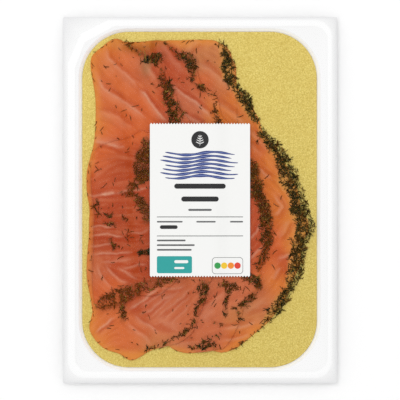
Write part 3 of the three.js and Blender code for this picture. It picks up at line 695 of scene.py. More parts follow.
# %% Fields of colour on the flesh
FLESH = {
    "amber": "#D88439",
    "orange": "#D3742F",
    "coral": "#CF602B",
    "rose": "#BD613A",
    "red": "#B54A23",
    "deep_red": "#A73E15",
    "tan": "#C37644",
    "rust": "#A65916",
    "deep_orange": "#CC6B27",
    "pale_coral": "#CE6733",
    "pink": "#C36740",
    "grey_green": "#8A7048",
}
FIELDS = [  # (colour, x, y, reach across, reach along)
    ("orange", -62, 84, 9, 9), ("pale_coral", -52, 74, 12, 12), ("pale_coral", -50, 60, 12, 12),
    ("coral", -38, 60, 10, 12), ("rose", -33, 74, 7, 9), ("orange", -60, 46, 6, 8),
    ("coral", -50, 40, 10, 8), ("red", -22, 88, 6, 6), ("red", -15, 66, 9, 14),
    ("rose", -8, 58, 8, 10), ("tan", 6, 84, 9, 9), ("coral", 5, 72, 6, 6), ("rose", 12, 66, 7, 7),
    ("orange", 14, 56, 8, 8), ("orange", 20, 62, 6, 10), ("rust", -36, 94, 12, 4),
    ("amber", -6, 97, 18, 4), ("coral", -58, 27, 8, 10), ("deep_red", -48, 22, 8, 12),
    ("red", -54, 6, 12, 12), ("deep_red", -46, -4, 10, 8), ("deep_red", -56, -22, 9, 10),
    ("deep_red", -42, -20, 10, 12), ("deep_red", -34, -40, 8, 10), ("rose", -62, -42, 6, 10),
    ("red", -48, -38, 8, 8), ("coral", -56, -53, 7, 6), ("red", -30, -62, 10, 8),
    ("rose", -18, -58, 12, 9), ("pink", -22, -72, 12, 8), ("pale_coral", -52, -74, 8, 8),
    ("orange", -61, -82, 7, 9), ("pale_coral", -44, -82, 10, 8), ("tan", -20, -86, 14, 5),
    ("pink", -6, -84, 10, 5), ("pink", 8, -60, 8, 8), ("pink", 3, -70, 7, 7),
    ("pink", 10, -79, 8, 5), ("pink", 22, -55, 8, 6), ("tan", 25, -71, 8, 6),
    ("orange", 28, -80, 10, 6), ("tan", 38, -64, 7, 8), ("orange", 43, -48, 6, 10),
    ("coral", 40, -38, 6, 8), ("deep_orange", 34, 36, 6, 12), ("coral", 34, 27, 6, 7),
    ("deep_orange", 40, 20, 7, 10), ("deep_orange", 46, 2, 6, 12), ("deep_orange", 49, -8, 6, 8),
    ("coral", 46, -24, 6, 10), ("red", 48, -36, 5, 6), ("red", 32, -10, 6, 14),
    ("red", 32, -30, 6, 10), ("amber", -50, 95, 6, 3), ("amber", -42, -94, 7, 3),
    ("amber", -66, 26, 2.5, 6), ("amber", 49, 12, 3.5, 9), ("amber", 53, -4, 3, 9),
    ("amber", 53, -22, 3.5, 9), ("amber", 42, 26, 3, 6), ("amber", 27, 54, 3, 9),
    ("amber", 14, 78, 3, 9), ("amber", -63.5, 62, 3, 18), ("rose", 38, -56, 5, 8),
    ("tan", 12, 72, 5, 8), ("grey_green", -32.4, 79, 2.6, 4.5),
]
EDGE_REACH = 2.8  # mm, how far the amber of a thin edge goes in
ON_BOARD = 0.8  # mm, a slice that rests more than this over the board shows no amber edge
SHIFTS = {  # (colour, share of it where the shift is full)
    "beside fat": ("#A8360F", 0.75),
    "pale streak": ("#D7855E", 0.07),
    "deep streak": ("#93300F", 0.06),
    "thin edge": (FLESH["amber"], 0.7),
    "thin under dill": ("#E0A24E", 0.75),
}


def shifted(tone, shift, amount):
    """Moves rows of linear colours towards a shift's colour, by its share times the amount."""
    colour, share = SHIFTS[shift]
    return tone + (share * amount)[:, None] * (np.array(linear(colour)[:3]) - tone)


def field_colour(x, y):
    """The weighted mean of the fields' linear colours at each place."""
    total = np.zeros((len(x), 3))
    weights = np.zeros(len(x))
    for colour, fx, fy, reach_x, reach_y in FIELDS:
        weight = np.exp(-(((x - fx) / reach_x) ** 2) - ((y - fy) / reach_y) ** 2) + 1e-6
        total += weight[:, None] * np.array(linear(FLESH[colour])[:3])
        weights += weight
    return total / weights[:, None]


for name, (piece, points) in flesh.items():
    x, y = points[:, 0], points[:, 1]
    depth = np.maximum(read_map(SLICES[name]["depth"], x, y), 0)
    streak = read_map(streak_map, x, y)
    lifted = smoothstep(read_map(SLICES[name]["rest"], x, y), FISH_BOTTOM, FISH_BOTTOM + ON_BOARD)
    tone = field_colour(x, y)
    tone = shifted(tone, "beside fat", read_map(deep_map, x, y))
    tone = shifted(tone, "pale streak", np.clip(streak, 0, 2))
    tone = shifted(tone, "deep streak", np.clip(-streak, 0, 2))
    tone = shifted(tone, "thin edge", (1 - lifted) * np.exp(-((depth / EDGE_REACH) ** 2)))
    tone = shifted(tone, "thin under dill", read_map(thin_map, x, y))
    store(piece, "flesh_tone", np.column_stack([tone, np.ones(len(x))]))
    store(piece, "grain", read_map(grain_map, x, y))
    store(piece, "fat", read_map(pale_map, x, y))
    store(piece, "herb_stain_and_shade", read_map(juice_and_shade_map, x, y))
print("flesh coloured by", len(FIELDS), "fields")

# %% [markdown]
# ## Finish: cured salmon, cut with a thin blade
#
# Cured flesh is moist and slightly clear, with a soft gloss. The fields of colour are the base.
# The grain shifts them a little up and down, the strokes of fat add pale lines with uneven edges,
# and juice of the dill stains the flesh between the needles, darkened further there by painted
# shade. A cut surface keeps a fine relief across the fibres, which the bump gives.

# %% Cured salmon material
FIBRE = 1.0  # mm, the width of the finest visible fibres
STAIN_GRAIN = 1.0  # mm, the size of the specks in the stain


def salmon_finish():
    """Fields of colour, shifted by the grain, crossed by fat, and stained under the dill, with painted shade
    between the needles.
    """
    material, tree = finish_named("cured_salmon_flesh_cut")
    place = put(tree, "ShaderNodeTexCoord").outputs["Object"]
    tone = put(tree, "ShaderNodeAttribute", attribute_name="flesh_tone").outputs["Color"]
    grain = put(tree, "ShaderNodeAttribute", attribute_name="grain").outputs["Fac"]
    fat = put(tree, "ShaderNodeAttribute", attribute_name="fat").outputs["Fac"]
    herb_stain_and_shade = put(tree, "ShaderNodeAttribute", attribute_name="herb_stain_and_shade").outputs["Fac"]
    fibres = put(tree, "ShaderNodeTexNoise", {"Vector": place, "Scale": 1 / (FIBRE * MM), "Detail": 3.0})
    pale = put(tree, "ShaderNodeMapRange",
               {"Value": grain, "From Min": 0.0, "From Max": 3.0, "To Min": 0.0, "To Max": 0.18})
    deep = put(tree, "ShaderNodeMapRange",
               {"Value": grain, "From Min": 0.0, "From Max": -3.0, "To Min": 0.0, "To Max": 0.22})
    lighter = put(tree, "ShaderNodeMix", {0: pale.outputs[0], MIX_A: tone, MIX_B: linear("#DD9068")},
                  data_type="RGBA")
    darker = put(tree, "ShaderNodeMix",
                 {0: deep.outputs[0], MIX_A: lighter.outputs[MIX_OUT], MIX_B: linear("#8A2809")},
                 data_type="RGBA")
    uneven = put(tree, "ShaderNodeMath", {0: fibres.outputs["Fac"], 1: 0.8, 2: 0.4},
                 operation="MULTIPLY_ADD")
    fat_share = put(tree, "ShaderNodeMath", {0: fat, 1: uneven.outputs[0]}, operation="MULTIPLY")
    line = put(tree, "ShaderNodeMapRange",
               {"Value": fat_share.outputs[0],
                "From Min": 0.0, "From Max": 1.0, "To Min": 0.0, "To Max": 0.8})
    fatty = put(tree, "ShaderNodeMix",
                {0: line.outputs[0], MIX_A: darker.outputs[MIX_OUT], MIX_B: linear("#D9A184")},
                data_type="RGBA")
    specks = put(tree, "ShaderNodeTexNoise",
                 {"Vector": place, "Scale": 1 / (STAIN_GRAIN * MM), "Detail": 2.0})
    patchy = put(tree, "ShaderNodeMapRange",
                 {"Value": specks.outputs["Fac"],
                  "From Min": 0.4, "From Max": 0.6, "To Min": 0.4, "To Max": 0.9})
    # painted shade between the dill's needles, together with the juice stain
    stain_and_shade = put(tree, "ShaderNodeMath", {0: patchy.outputs[0], 1: herb_stain_and_shade}, operation="MULTIPLY")
    stained_and_shaded = put(tree, "ShaderNodeMix",
                  {0: stain_and_shade.outputs[0], MIX_A: fatty.outputs[MIX_OUT], MIX_B: linear("#703A14")},
                  data_type="RGBA")
    relief = put(tree, "ShaderNodeMath", {0: fibres.outputs["Fac"], 1: 0.6, 2: line.outputs[0]},
                 operation="MULTIPLY_ADD")
    bump = put(tree, "ShaderNodeBump", {"Height": relief.outputs[0], "Strength": 0.3, "Distance": 0.0002})
    close_tree(tree, {
        "Base Color": stained_and_shaded.outputs[MIX_OUT],
        "Roughness": 0.4,
        "IOR": 1.2,
        "Normal": bump.outputs[0],
    })
    return material


salmon_material = salmon_finish()
for piece, _ in flesh.values():
    piece.data.materials.append(salmon_material)

# %% [markdown]
# ## How high the dill lies
#
# The dill lies on whatever is highest at its place: the top slice, or the board. The flat map of
# heights that was made with the slices holds that. It is softened a little here, because a needle
# bridges a step, but nowhere is it lowered.

# %% A softened height for the dill
BRIDGE_PASSES = 5
soft_map = np.maximum(blurred(top_map, BRIDGE_PASSES), top_map)
print(f"softened by up to {(soft_map - top_map).max():.2f} mm")

# %% [markdown]
# ## Dill, chopped and pressed on
#
# Dill leaves are needles about half a millimetre wide, which branch off thin stems. Chopped, they
# fall as short curved needles, some still on a piece of stem. Thousands of them are needed, so
# each needle has only 18 triangles: a curved line with three small three-sided rings and a point
# at either end. All needles are worked out at once. A needle's line is a circular arc, which
# starts at one place in one direction and turns evenly to its end.

# %% Needles from arrays
RING_SHARES = (0.16, 0.5, 0.84)  # where the rings sit along a needle
RING_WIDTHS = (0.8, 1.0, 0.7)  # shares of its half width
RING_CORNERS = np.radians([90, 210, 330])
TIP_HEIGHT = 0.6  # of the half width over what the needle lies on
NEEDLE_POINTS = 11  # a tip, three rings of three and a tip


def arc(x, y, angle, bend, length, share):
    """The place at a share of the way along an arc: the chord of the turn made so far."""
    turn = bend * share
    chord = length * share * np.sinc(turn / 2 / np.pi)
    return x + chord * np.cos(angle + turn / 2), y + chord * np.sin(angle + turn / 2), angle + turn


def needle_mesh(name, needles, nodes):
    """Closed needles from rows of x, y, angle, bend, length, half width, lift, tone and brown."""
    x, y, angle, bend, length, width, lift, tone, brown = needles.T
    points = np.empty((len(x), NEEDLE_POINTS, 3))
    for column, share in ((0, 0.0), (NEEDLE_POINTS - 1, 1.0)):
        tip_x, tip_y, _ = arc(x, y, angle, bend, length, share)
        tip_z = read_map(soft_map, tip_x, tip_y) + lift + TIP_HEIGHT * width
        points[:, column] = np.stack([tip_x, tip_y, tip_z], -1)
    for ring, (share, wide) in enumerate(zip(RING_SHARES, RING_WIDTHS)):
        mid_x, mid_y, way = arc(x, y, angle, bend, length, share)
        mid_z = read_map(soft_map, mid_x, mid_y) + lift + width
        for corner, turn in enumerate(RING_CORNERS):
            side, up = width * wide * np.cos(turn), width * wide * np.sin(turn)
            points[:, 1 + 3 * ring + corner] = np.stack(
                [mid_x - side * np.sin(way), mid_y + side * np.cos(way), mid_z + up], -1)
    pairs = [(1, 2), (2, 3), (3, 1)]  # neighbours on the first ring; the next ring adds 3
    sides = [[a + up + 3, b + up + 3, b + up, a + up] for up in (0, 3) for a, b in pairs]
    tips = [[a, b, 0] for a, b in pairs] + [[b + 6, a + 6, NEEDLE_POINTS - 1] for a, b in pairs]
    base = NEEDLE_POINTS * np.arange(len(x))[:, None, None]
    face_sets = [(base + np.array(faces)).reshape(-1, len(faces[0])) for faces in (sides, tips)]
    piece = new_piece(name, points.reshape(-1, 3), face_sets, nodes)
    store(piece, "tone", np.repeat(tone, NEEDLE_POINTS))
    store(piece, "brown", np.repeat(brown, NEEDLE_POINTS))
    return piece, points.reshape(-1, 3)

# %% [markdown]
# ### The crusts
#
# Along each band, places are drawn at random, more of them where the band is wide or dense. They
# are spread evenly across the band, and a smooth random map then thins them here and crowds them
# there, as in real clumps. Over half of the dill is single needles. The rest is sprigs: a short
# stem with needles that leave it to the left and the right in turn, which looks feathery.

# %% Needles and sprigs in the bands
random = np.random.default_rng(5)
LABEL_BOX = (-30, 30, -46.1, 46.3)  # left, right, bottom, top
UNSEEN = 2.0  # mm in from the label's edges, where needles are left out
PER_SPRIG = 7  # needles, with the stem
SPRIG_SHARE = 0.45  # of the needles, those on sprigs
CLUMPING = 0.16  # how much more dill there is in a clump
INSET = 0.5  # how far inside a band's edge the needles' middles stay
STRAY = 0.2  # spread of those that leave the band
BROWN_SPREAD = 0.22
DARK_POWER = 1.6  # over 1 makes pale needles rare


def draw_places(total):
    """Places in the bands: a sample drawn by its width and density, and an even step across it.
    Twice the total is drawn, and about half is kept, more where the map of clumps is high."""
    drawn = 2 * total
    weight = dill_samples[:, 2] * dill_samples[:, 5]
    chosen = dill_samples[random.choice(len(dill_samples), drawn, p=weight / weight.sum())]
    along = random.uniform(-SAMPLE, SAMPLE, drawn)
    step = random.uniform(-1, 1, drawn) * np.maximum(chosen[:, 2] - INSET, 0.3 * chosen[:, 2])
    step += random.normal(0, STRAY, drawn)
    x = chosen[:, 0] - step * chosen[:, 4] + along * chosen[:, 3]
    y = chosen[:, 1] + step * chosen[:, 3] + along * chosen[:, 4]
    kept = random.random(drawn) < 0.5 + CLUMPING * read_map(clump_map, x, y)
    x, y, chosen = x[kept], y[kept], chosen[kept]
    brown = np.clip(chosen[:, 6] + random.normal(0, BROWN_SPREAD, len(x)), 0, 1)
    return x, y, brown


def in_the_open(rows):
    """The rows whose needles the label doesn't hide."""
    x, y = rows[:, 0], rows[:, 1]
    left, right, bottom, top = LABEL_BOX
    hidden_x = (x > left + UNSEEN) & (x < right - UNSEEN)
    return rows[~(hidden_x & (y > bottom + UNSEEN) & (y < top - UNSEEN))]


def single_needles(total):
    """Rows of single needles in the bands, lying any way round."""
    x, y, brown = draw_places(total)
    total = len(x)
    length = random.gamma(8, 0.31, total).clip(1.1, 4.8)
    angle = random.uniform(0, 2 * np.pi, total)
    bend = random.normal(0, 2.2, total)
    width = random.uniform(0.19, 0.31, total)
    lift = random.uniform(0, 0.5, total)
    x, y = x - 0.5 * length * np.cos(angle), y - 0.5 * length * np.sin(angle)
    tone = random.random(total) ** DARK_POWER
    return np.column_stack([x, y, angle, bend, length, width, lift, tone, brown])


def sprigs(total):
    """Rows of needles on short curved stems, which are needles themselves."""
    x, y, brown = draw_places(total)
    total = len(x)
    angle = random.uniform(0, 2 * np.pi, total)
    bend = random.normal(0, 0.7, total)
    stem = random.uniform(2.4, 4.6, total)
    x, y = x - 0.5 * stem * np.cos(angle), y - 0.5 * stem * np.sin(angle)
    lift = random.uniform(0.1, 0.7, total)
    tone = random.random(total) ** DARK_POWER
    rows = [np.column_stack([x, y, angle, bend, stem, np.full(total, 0.2), lift, tone, brown])]
    for number in range(PER_SPRIG - 1):
        share = 0.15 + 0.8 * number / (PER_SPRIG - 2)
        root_x, root_y, way = arc(x, y, angle, bend, stem, share)
        side = 1 if number % 2 else -1
        slant = way + side * random.uniform(0.4, 0.95, total)
        length = random.uniform(1.2, 2.5, total)
        curl = -side * random.uniform(0.3, 1.5, total)
        width = random.uniform(0.17, 0.26, total)
        near_tone = np.clip(tone + random.normal(0, 0.14, total), 0, 1)
        rows.append(np.column_stack([root_x, root_y, slant, curl, length, width, lift, near_tone, brown]))
    return np.concatenate(rows)


needle_count = 2 * SAMPLE * (dill_samples[:, 2] * dill_samples[:, 5]).sum()
crust_needles = in_the_open(single_needles(int((1 - SPRIG_SHARE) * needle_count)))
crust_sprigs = in_the_open(sprigs(int(SPRIG_SHARE * needle_count / PER_SPRIG)))
print(f"bands hold {needle_count:.0f} needles")
crust, crust_points = needle_mesh("dill_needles_in_crusts", crust_needles, list(SLICES))
sprig, sprig_points = needle_mesh("dill_sprigs_in_crusts", crust_sprigs, list(SLICES))

# %% [markdown]
# ### Loose needles
#
# Between the crusts, single needles lie here and there on the flesh, often in twos and threes.
# Their places are drawn over the whole fish and kept only where a slice is under them. A few more
# lie along the edges of the slices, where these rest on the board.

# %% Loose needles on the flesh
random = np.random.default_rng(23)
LOOSE = 360  # drawn over the fish's whole box
AT_EDGES = 60  # drawn along each slice's edge
GROUPED = 0.35  # share of the loose needles that lie beside another one
NEAR_BOARD = 0.6  # mm, a slice's edge that rests lower than this over the board lies on it
PRESSED = -0.05  # lift of a needle that is pressed onto the flesh


def loose_needles(total):
    """Rows of needles scattered singly over the fish, some of them in small groups."""
    x = random.uniform(-68, 68, total)
    y = random.uniform(-96, 97, total)
    follow = random.random(total) < GROUPED
    x[1:] = np.where(follow[1:], x[:-1] + random.normal(0, 1.6, total - 1), x[1:])
    y[1:] = np.where(follow[1:], y[:-1] + random.normal(0, 1.6, total - 1), y[1:])
    on_fish = read_map(top_map, x, y) > BOARD_TOP + 1.5
    x, y = x[on_fish], y[on_fish]
    count = len(x)
    length = random.gamma(5, 0.5, count).clip(0.8, 5)
    angle = random.uniform(0, 2 * np.pi, count)
    bend = random.normal(0, 1.0, count)
    width = random.uniform(0.2, 0.32, count)
    tone, brown = 0.5 * random.random(count), random.uniform(0.25, 0.8, count)
    return np.column_stack([x, y, angle, bend, length, width, np.full(count, PRESSED), tone, brown])


def edge_needles(total):
    """Rows of short needles that lie along the slices' edges on the board."""
    rows = []
    for slice_data in SLICES.values():
        loop = slice_data["loop"]
        pick = random.integers(0, len(loop), total)
        ahead = loop[(pick + 1) % len(loop)] - loop[pick]
        way = np.arctan2(ahead[:, 1], ahead[:, 0])
        inward = random.uniform(0.1, 1.0, total)
        x, y = loop[pick, 0] - inward * np.sin(way), loop[pick, 1] + inward * np.cos(way)
        on_board = read_map(slice_data["rest"], x, y) < FISH_BOTTOM + NEAR_BOARD
        angle = way + random.normal(0, 0.3, total)
        length = random.gamma(5, 0.45, total).clip(0.8, 4)
        width = random.uniform(0.15, 0.24, total)
        tone, brown = 0.5 * random.random(total), random.uniform(0.1, 0.6, total)
        bend = random.normal(0, 0.6, total)
        lift = np.full(total, PRESSED)
        rows.append(np.column_stack([x, y, angle, bend, length, width, lift, tone, brown])[on_board])
    return np.concatenate(rows)


loose_rows = in_the_open(np.concatenate([loose_needles(LOOSE), edge_needles(AT_EDGES)]))
loose, loose_points = needle_mesh("dill_needles_loose", loose_rows, list(SLICES))

# %% [markdown]
# ## Finish: dried and soaked dill
#
# Dill darkens as it cures: most needles are a dark, brownish green, wet and slightly shiny, and
# a few have bleached to olive or straw. Each needle keeps one number, its tone, which picks its
# colour, and fine noise varies it along the needle. A second number turns it brown with juice.

# %% Dill material
MOTTLE = 1.4  # mm, the size of the uneven patches along a needle


def dill_finish():
    """Dark green to olive and straw by each needle's tone, and turned brown by its share of juice."""
    material, tree = finish_named("chopped_dill_cured")
    place = put(tree, "ShaderNodeTexCoord").outputs["Object"]
    tone = put(tree, "ShaderNodeAttribute", attribute_name="tone").outputs["Fac"]
    brown = put(tree, "ShaderNodeAttribute", attribute_name="brown").outputs["Fac"]
    mottle = put(tree, "ShaderNodeTexNoise", {"Vector": place, "Scale": 1 / (MOTTLE * MM), "Detail": 2.0})
    mottled = put(tree, "ShaderNodeMath", {0: mottle.outputs["Fac"], 1: 0.5, 2: tone},
                  operation="MULTIPLY_ADD")
    olive = put(tree, "ShaderNodeMapRange",
                {"Value": mottled.outputs[0],
                 "From Min": 0.6, "From Max": 1.1, "To Min": 0.0, "To Max": 1.0})
    straw = put(tree, "ShaderNodeMapRange",
                {"Value": mottled.outputs[0],
                 "From Min": 1.1, "From Max": 1.25, "To Min": 0.0, "To Max": 1.0})
    green = put(tree, "ShaderNodeMix",
                {0: olive.outputs[0], MIX_A: linear("#26290B"), MIX_B: linear("#5A4E1C")},
                data_type="RGBA")
    soaked = put(tree, "ShaderNodeMix",
                 {0: brown, MIX_A: green.outputs[MIX_OUT], MIX_B: linear("#84440F")}, data_type="RGBA")
    pale = put(tree, "ShaderNodeMix",
               {0: straw.outputs[0], MIX_A: soaked.outputs[MIX_OUT], MIX_B: linear("#A8853C")},
               data_type="RGBA")
    close_tree(tree, {"Base Color": pale.outputs[MIX_OUT], "Roughness": 0.5, "IOR": 1.15})
    return material


dill_material = dill_finish()
for piece in (crust, sprig, loose):
    piece.data.materials.append(dill_material)

# %% [markdown]
# ## The white tray
#
# The tray is formed from one warm plastic sheet that is sucked into a mould, so all its edges are
# soft. It is a stack of rounded rectangles: from the underside of the floor, out under the
# flange, round its edge, over the raised band to which the film is sealed, and down the wall of
# the pocket. The band has one cut corner, where the film can be peeled.

# %% Rounded rectangles
CORNER_STEPS = 24  # straight pieces in each rounded corner
TRAY = {"width": 164.5, "length": 219.8, "radius": 0.8, "wall": 0.5, "flange_top": 5.0}
POCKET = {"width": 141, "length": 201.6, "radius": 28, "middle": (-0.3, 0.4)}
SEAL_OUTER = {"width": 159, "length": 215.4, "radius": 10.5, "middle": (0, 0.7),
              "cut": [(-54.8, 108.4), (-71.8, 99.9), (-79.5, 82.4)]}
SEAL_INNER = {"width": 151.2, "length": 207, "radius": 8.5, "middle": (0.9, 0.7),
              "cut": [(-51.1, 104.2), (-68.9, 94.4), (-74.7, 79)]}
CUT_OUTWARD = np.array([(0, 1), (-0.71, 0.71), (-1, 0)])  # how the cut's points move as it grows
SEAL_HEIGHT = 0.25
GAP = 0.3  # air between two loose pieces


def rounded_ring(shape, margin, height):
    """A rectangle with round corners, grown by a margin. A cut corner follows two straight lines."""
    middle = shape.get("middle", (0, 0))
    radius = shape["radius"] + margin
    share = np.linspace(0, 1, CORNER_STEPS + 1)
    corners = []
    for corner, (side_x, side_y) in enumerate([(1, 1), (-1, 1), (-1, -1), (1, -1)]):
        angle = (corner + share) * np.pi / 2
        x = middle[0] + side_x * (shape["width"] / 2 + margin - radius) + radius * np.cos(angle)
        y = middle[1] + side_y * (shape["length"] / 2 + margin - radius) + radius * np.sin(angle)
        if corner == 1 and "cut" in shape:
            cut = np.array(shape["cut"]) + margin * CUT_OUTWARD
            x = np.interp(share, [0, 0.5, 1], cut[:, 0])
            y = np.interp(share, [0, 0.5, 1], cut[:, 1])
        corners.append(np.column_stack([x, y, np.full(len(x), height)]))
    return np.concatenate(corners)


# %% Tray
WALL_SLOPE = 1.8  # how far outside the board the top of the pocket's wall lies
WALL_RINGS = (19, 20, 21)  # the pocket's wall, counted in the rings below
RIM_SHADE_REACH = 1.2  # mm, how far in the painted shade at the flange's thin edge goes


def tray_rings():
    """The tray's section as rings, each a shape with a margin and a height, from the middle of
    the underside round to the middle of the floor. The last number is 1 on the welded band."""
    wall, top = TRAY["wall"], TRAY["flange_top"]
    seal = top + SEAL_HEIGHT
    outline = {"width": TRAY["width"], "length": TRAY["length"], "radius": TRAY["radius"]}
    rings = [
        (POCKET, GAP + wall - 1.0, 0.0, 0), (POCKET, GAP + wall - 0.2, 0.1, 0),
        (POCKET, GAP + wall, 0.3, 0), (POCKET, WALL_SLOPE + wall - 0.1, top - wall - 0.3, 0),
        (POCKET, WALL_SLOPE + wall + 0.2, top - wall, 0),
        (outline, -0.1, top - wall, 0), (outline, 0, top - wall + 0.1, 0),
        (outline, 0, top - 0.1, 0), (outline, -0.12, top, 0),
        (SEAL_OUTER, 0.1, top, 0), (SEAL_OUTER, -0.05, top + 0.04, 0.3),
        (SEAL_OUTER, -0.35, seal - 0.03, 1), (SEAL_OUTER, -0.6, seal, 1),
        (SEAL_INNER, 0.6, seal, 1), (SEAL_INNER, 0.35, seal - 0.03, 1),
        (SEAL_INNER, 0.05, top + 0.04, 0.3), (SEAL_INNER, -0.1, top, 0),
        (POCKET, WALL_SLOPE + 0.5, top, 0), (POCKET, WALL_SLOPE + 0.15, top - 0.08, 0),
        (POCKET, WALL_SLOPE - 0.05, top - 0.35, 0), (POCKET, GAP + 0.15, wall + 0.5, 0),
        (POCKET, GAP - 0.1, wall + 0.1, 0), (POCKET, GAP - 0.5, wall, 0),
    ]
    points = np.stack([rounded_ring(shape, margin, height) for shape, margin, height, _ in rings])
    band = np.repeat([sealed for _, _, _, sealed in rings], points.shape[1])
    return points, band


tray_points, sealed_band = tray_rings()
pocket_x, pocket_y = POCKET["middle"]
tray = ringed_piece("tray_thermoformed", (pocket_x, pocket_y, 0), tray_points,
                    (pocket_x, pocket_y, TRAY["wall"]), ["tray"])
store(tray, "sealed", np.concatenate([[0], sealed_band, [0]]))
on_wall = np.repeat(np.isin(np.arange(len(tray_points)), WALL_RINGS), tray_points.shape[1])
store(tray, "wall", np.concatenate([[0], on_wall, [0]]))
edge_x = TRAY["width"] / 2 - np.abs(tray_points[..., 0].ravel())
edge_y = TRAY["length"] / 2 - np.abs(tray_points[..., 1].ravel())
# painted shade: the flange turns greyer towards its thin outer edge
store(tray, "rim", np.concatenate([[0], np.exp(-np.minimum(edge_x, edge_y) / RIM_SHADE_REACH), [0]]))

# %% [markdown]
# ## Finish: white polystyrene, thermoformed
#
# The sheet is white all through, smooth, with a soft shine. Where the film is welded on, the two
# have fused and look a little whiter. Towards its thin outer edge the flange is greyed by painted
# shade. A faint long-waved unevenness is what the mould leaves.

# %% Tray material
MOULD_WAVES, MOULD_GRAIN = 14, 0.8  # mm
# painted light: a glow that lifts the shade on the pocket's steep wall
WALL_PAINTED_GLOW = 0.19


def tray_finish():
    """White, whiter on the weld and greyed at the rim by painted shade, with faint waves from the mould.
    The wall has a faint painted glow, which lifts the shade on the steep wall and stands for light
    through the thin sheet."""
    material, tree = finish_named("white_polystyrene_thermoformed")
    place = put(tree, "ShaderNodeTexCoord").outputs["Object"]
    sealed = put(tree, "ShaderNodeAttribute", attribute_name="sealed").outputs["Fac"]
    rim = put(tree, "ShaderNodeAttribute", attribute_name="rim").outputs["Fac"]
    waves = put(tree, "ShaderNodeTexNoise",
                {"Vector": place, "Scale": 1 / (MOULD_WAVES * MM), "Detail": 1.0})
    fine = put(tree, "ShaderNodeTexNoise",
               {"Vector": place, "Scale": 1 / (MOULD_GRAIN * MM), "Detail": 2.0})
    white = put(tree, "ShaderNodeMix", {0: sealed, MIX_A: linear("#F2F2F2"), MIX_B: linear("#F8F8F8")},
                data_type="RGBA")
    # painted shade, greying the flange towards its outer edge
    shade = put(tree, "ShaderNodeMath", {0: rim, 1: 0.5}, operation="MULTIPLY")
    rim_shaded = put(tree, "ShaderNodeMix",
                {0: shade.outputs[0], MIX_A: white.outputs[MIX_OUT], MIX_B: linear("#D6D6D8")},
                data_type="RGBA")
    height = put(tree, "ShaderNodeMath", {0: fine.outputs["Fac"], 1: 0.04, 2: waves.outputs["Fac"]},
                 operation="MULTIPLY_ADD")
    bump = put(tree, "ShaderNodeBump", {"Height": height.outputs[0], "Strength": 0.15, "Distance": 0.0004})
    wall = put(tree, "ShaderNodeAttribute", attribute_name="wall").outputs["Fac"]
    # painted light: the wall glows to lift its shade
    wall_painted_glow = put(tree, "ShaderNodeMath", {0: wall, 1: WALL_PAINTED_GLOW}, operation="MULTIPLY")
    close_tree(tree, {
        "Base Color": rim_shaded.outputs[MIX_OUT],
        "Roughness": 0.45,
        "IOR": 1.59,
        "Emission Color": (1, 1, 1, 1),
        "Emission Strength": wall_painted_glow.outputs[0],
        "Normal": bump.outputs[0],
    })
    material.cycles.emission_sampling = "NONE"  # too faint to be a lamp
    return material


tray.data.materials.append(tray_finish())

# %% [markdown]
# ## The gold board
#
# The board is card with gold foil on it, die-cut with round corners that fit the pocket. Its cut
# edge is square, and the foil turns over it a little, so the piece is a stack of rounded
# rectangles that lie close together at the upper edge.

# %% Board
BOARD_BOTTOM = 0.8
board_profile = [  # (margin, height)
    (0, BOARD_BOTTOM), (0, BOARD_BOTTOM + 0.08), (0, BOARD_TOP - 0.08),
    (-0.05, BOARD_TOP - 0.02), (-0.15, BOARD_TOP), (-3, BOARD_TOP),
]
board_rings = np.stack([rounded_ring(POCKET, margin, height) for margin, height in board_profile])
board = ringed_piece("gold_board_card", (pocket_x, pocket_y, BOARD_BOTTOM), board_rings,
                     (pocket_x, pocket_y, BOARD_TOP), ["gold_board"], smooth=False)

# %% [markdown]
# ## Finish: gold-laminated card
#
# The foil is pressed onto rough card, so it doesn't mirror: each tiny hill and dip sends light
# another way, and the eye sees a pale satin gold with a fine sparkle. The sparkle is noise of
# just under a millimetre, which is the finest that a picture of the whole pack can show.

# %% Gold board material
SPARKLE = 0.8  # mm, drawn coarser than the real grain so that it shows
CLOUD = 9  # mm, the size of the slow changes of tone


def gold_finish():
    """A rough metal whose colour and facing change with a fine grain, and its tone in clouds."""
    material, tree = finish_named("gold_foil_on_card")
    place = put(tree, "ShaderNodeTexCoord").outputs["Object"]
    grain = put(tree, "ShaderNodeTexNoise",
                {"Vector": place, "Scale": 1 / (SPARKLE * MM), "Detail": 3.0, "Roughness": 0.65})
    clouds = put(tree, "ShaderNodeTexNoise", {"Vector": place, "Scale": 1 / (CLOUD * MM), "Detail": 3.0})
    light = put(tree, "ShaderNodeMapRange",
                {"Value": grain.outputs["Fac"],
                 "From Min": 0.32, "From Max": 0.68, "To Min": 0.0, "To Max": 1.0})
    gold = put(tree, "ShaderNodeMix",
               {0: light.outputs[0], MIX_A: linear("#B59B42"), MIX_B: linear("#DDCB74")},
               data_type="RGBA")
    cloudy = put(tree, "ShaderNodeMapRange",
                 {"Value": clouds.outputs["Fac"],
                  "From Min": 0.35, "From Max": 0.7, "To Min": 0.0, "To Max": 0.3})
    mottled = put(tree, "ShaderNodeMix",
                  {0: cloudy.outputs[0], MIX_A: gold.outputs[MIX_OUT], MIX_B: linear("#C4A94F")},
                  data_type="RGBA")
    bump = put(tree, "ShaderNodeBump", {"Height": grain.outputs["Fac"], "Strength": 0.5, "Distance": 0.0001})
    close_tree(tree, {
        "Base Color": mottled.outputs[MIX_OUT],
        "Metallic": 0.55,
        "Roughness": 0.5,
        "Normal": bump.outputs[0],
    })
    return material


board.data.materials.append(gold_finish())

# %% [markdown]
# ## The clear film
#
# The film is welded to the tray's raised band. The air is drawn out before that, so the film
# is pulled down onto the board and the fish, and bridges the steps between them. Here it is found
# by relaxing: it starts on the highest thing under each point of a grid, and in every pass a
# point that sags below the mean of its neighbours is lifted to it. Long creases form where the
# film has to give up length, along the fish's left edge and towards the corners.

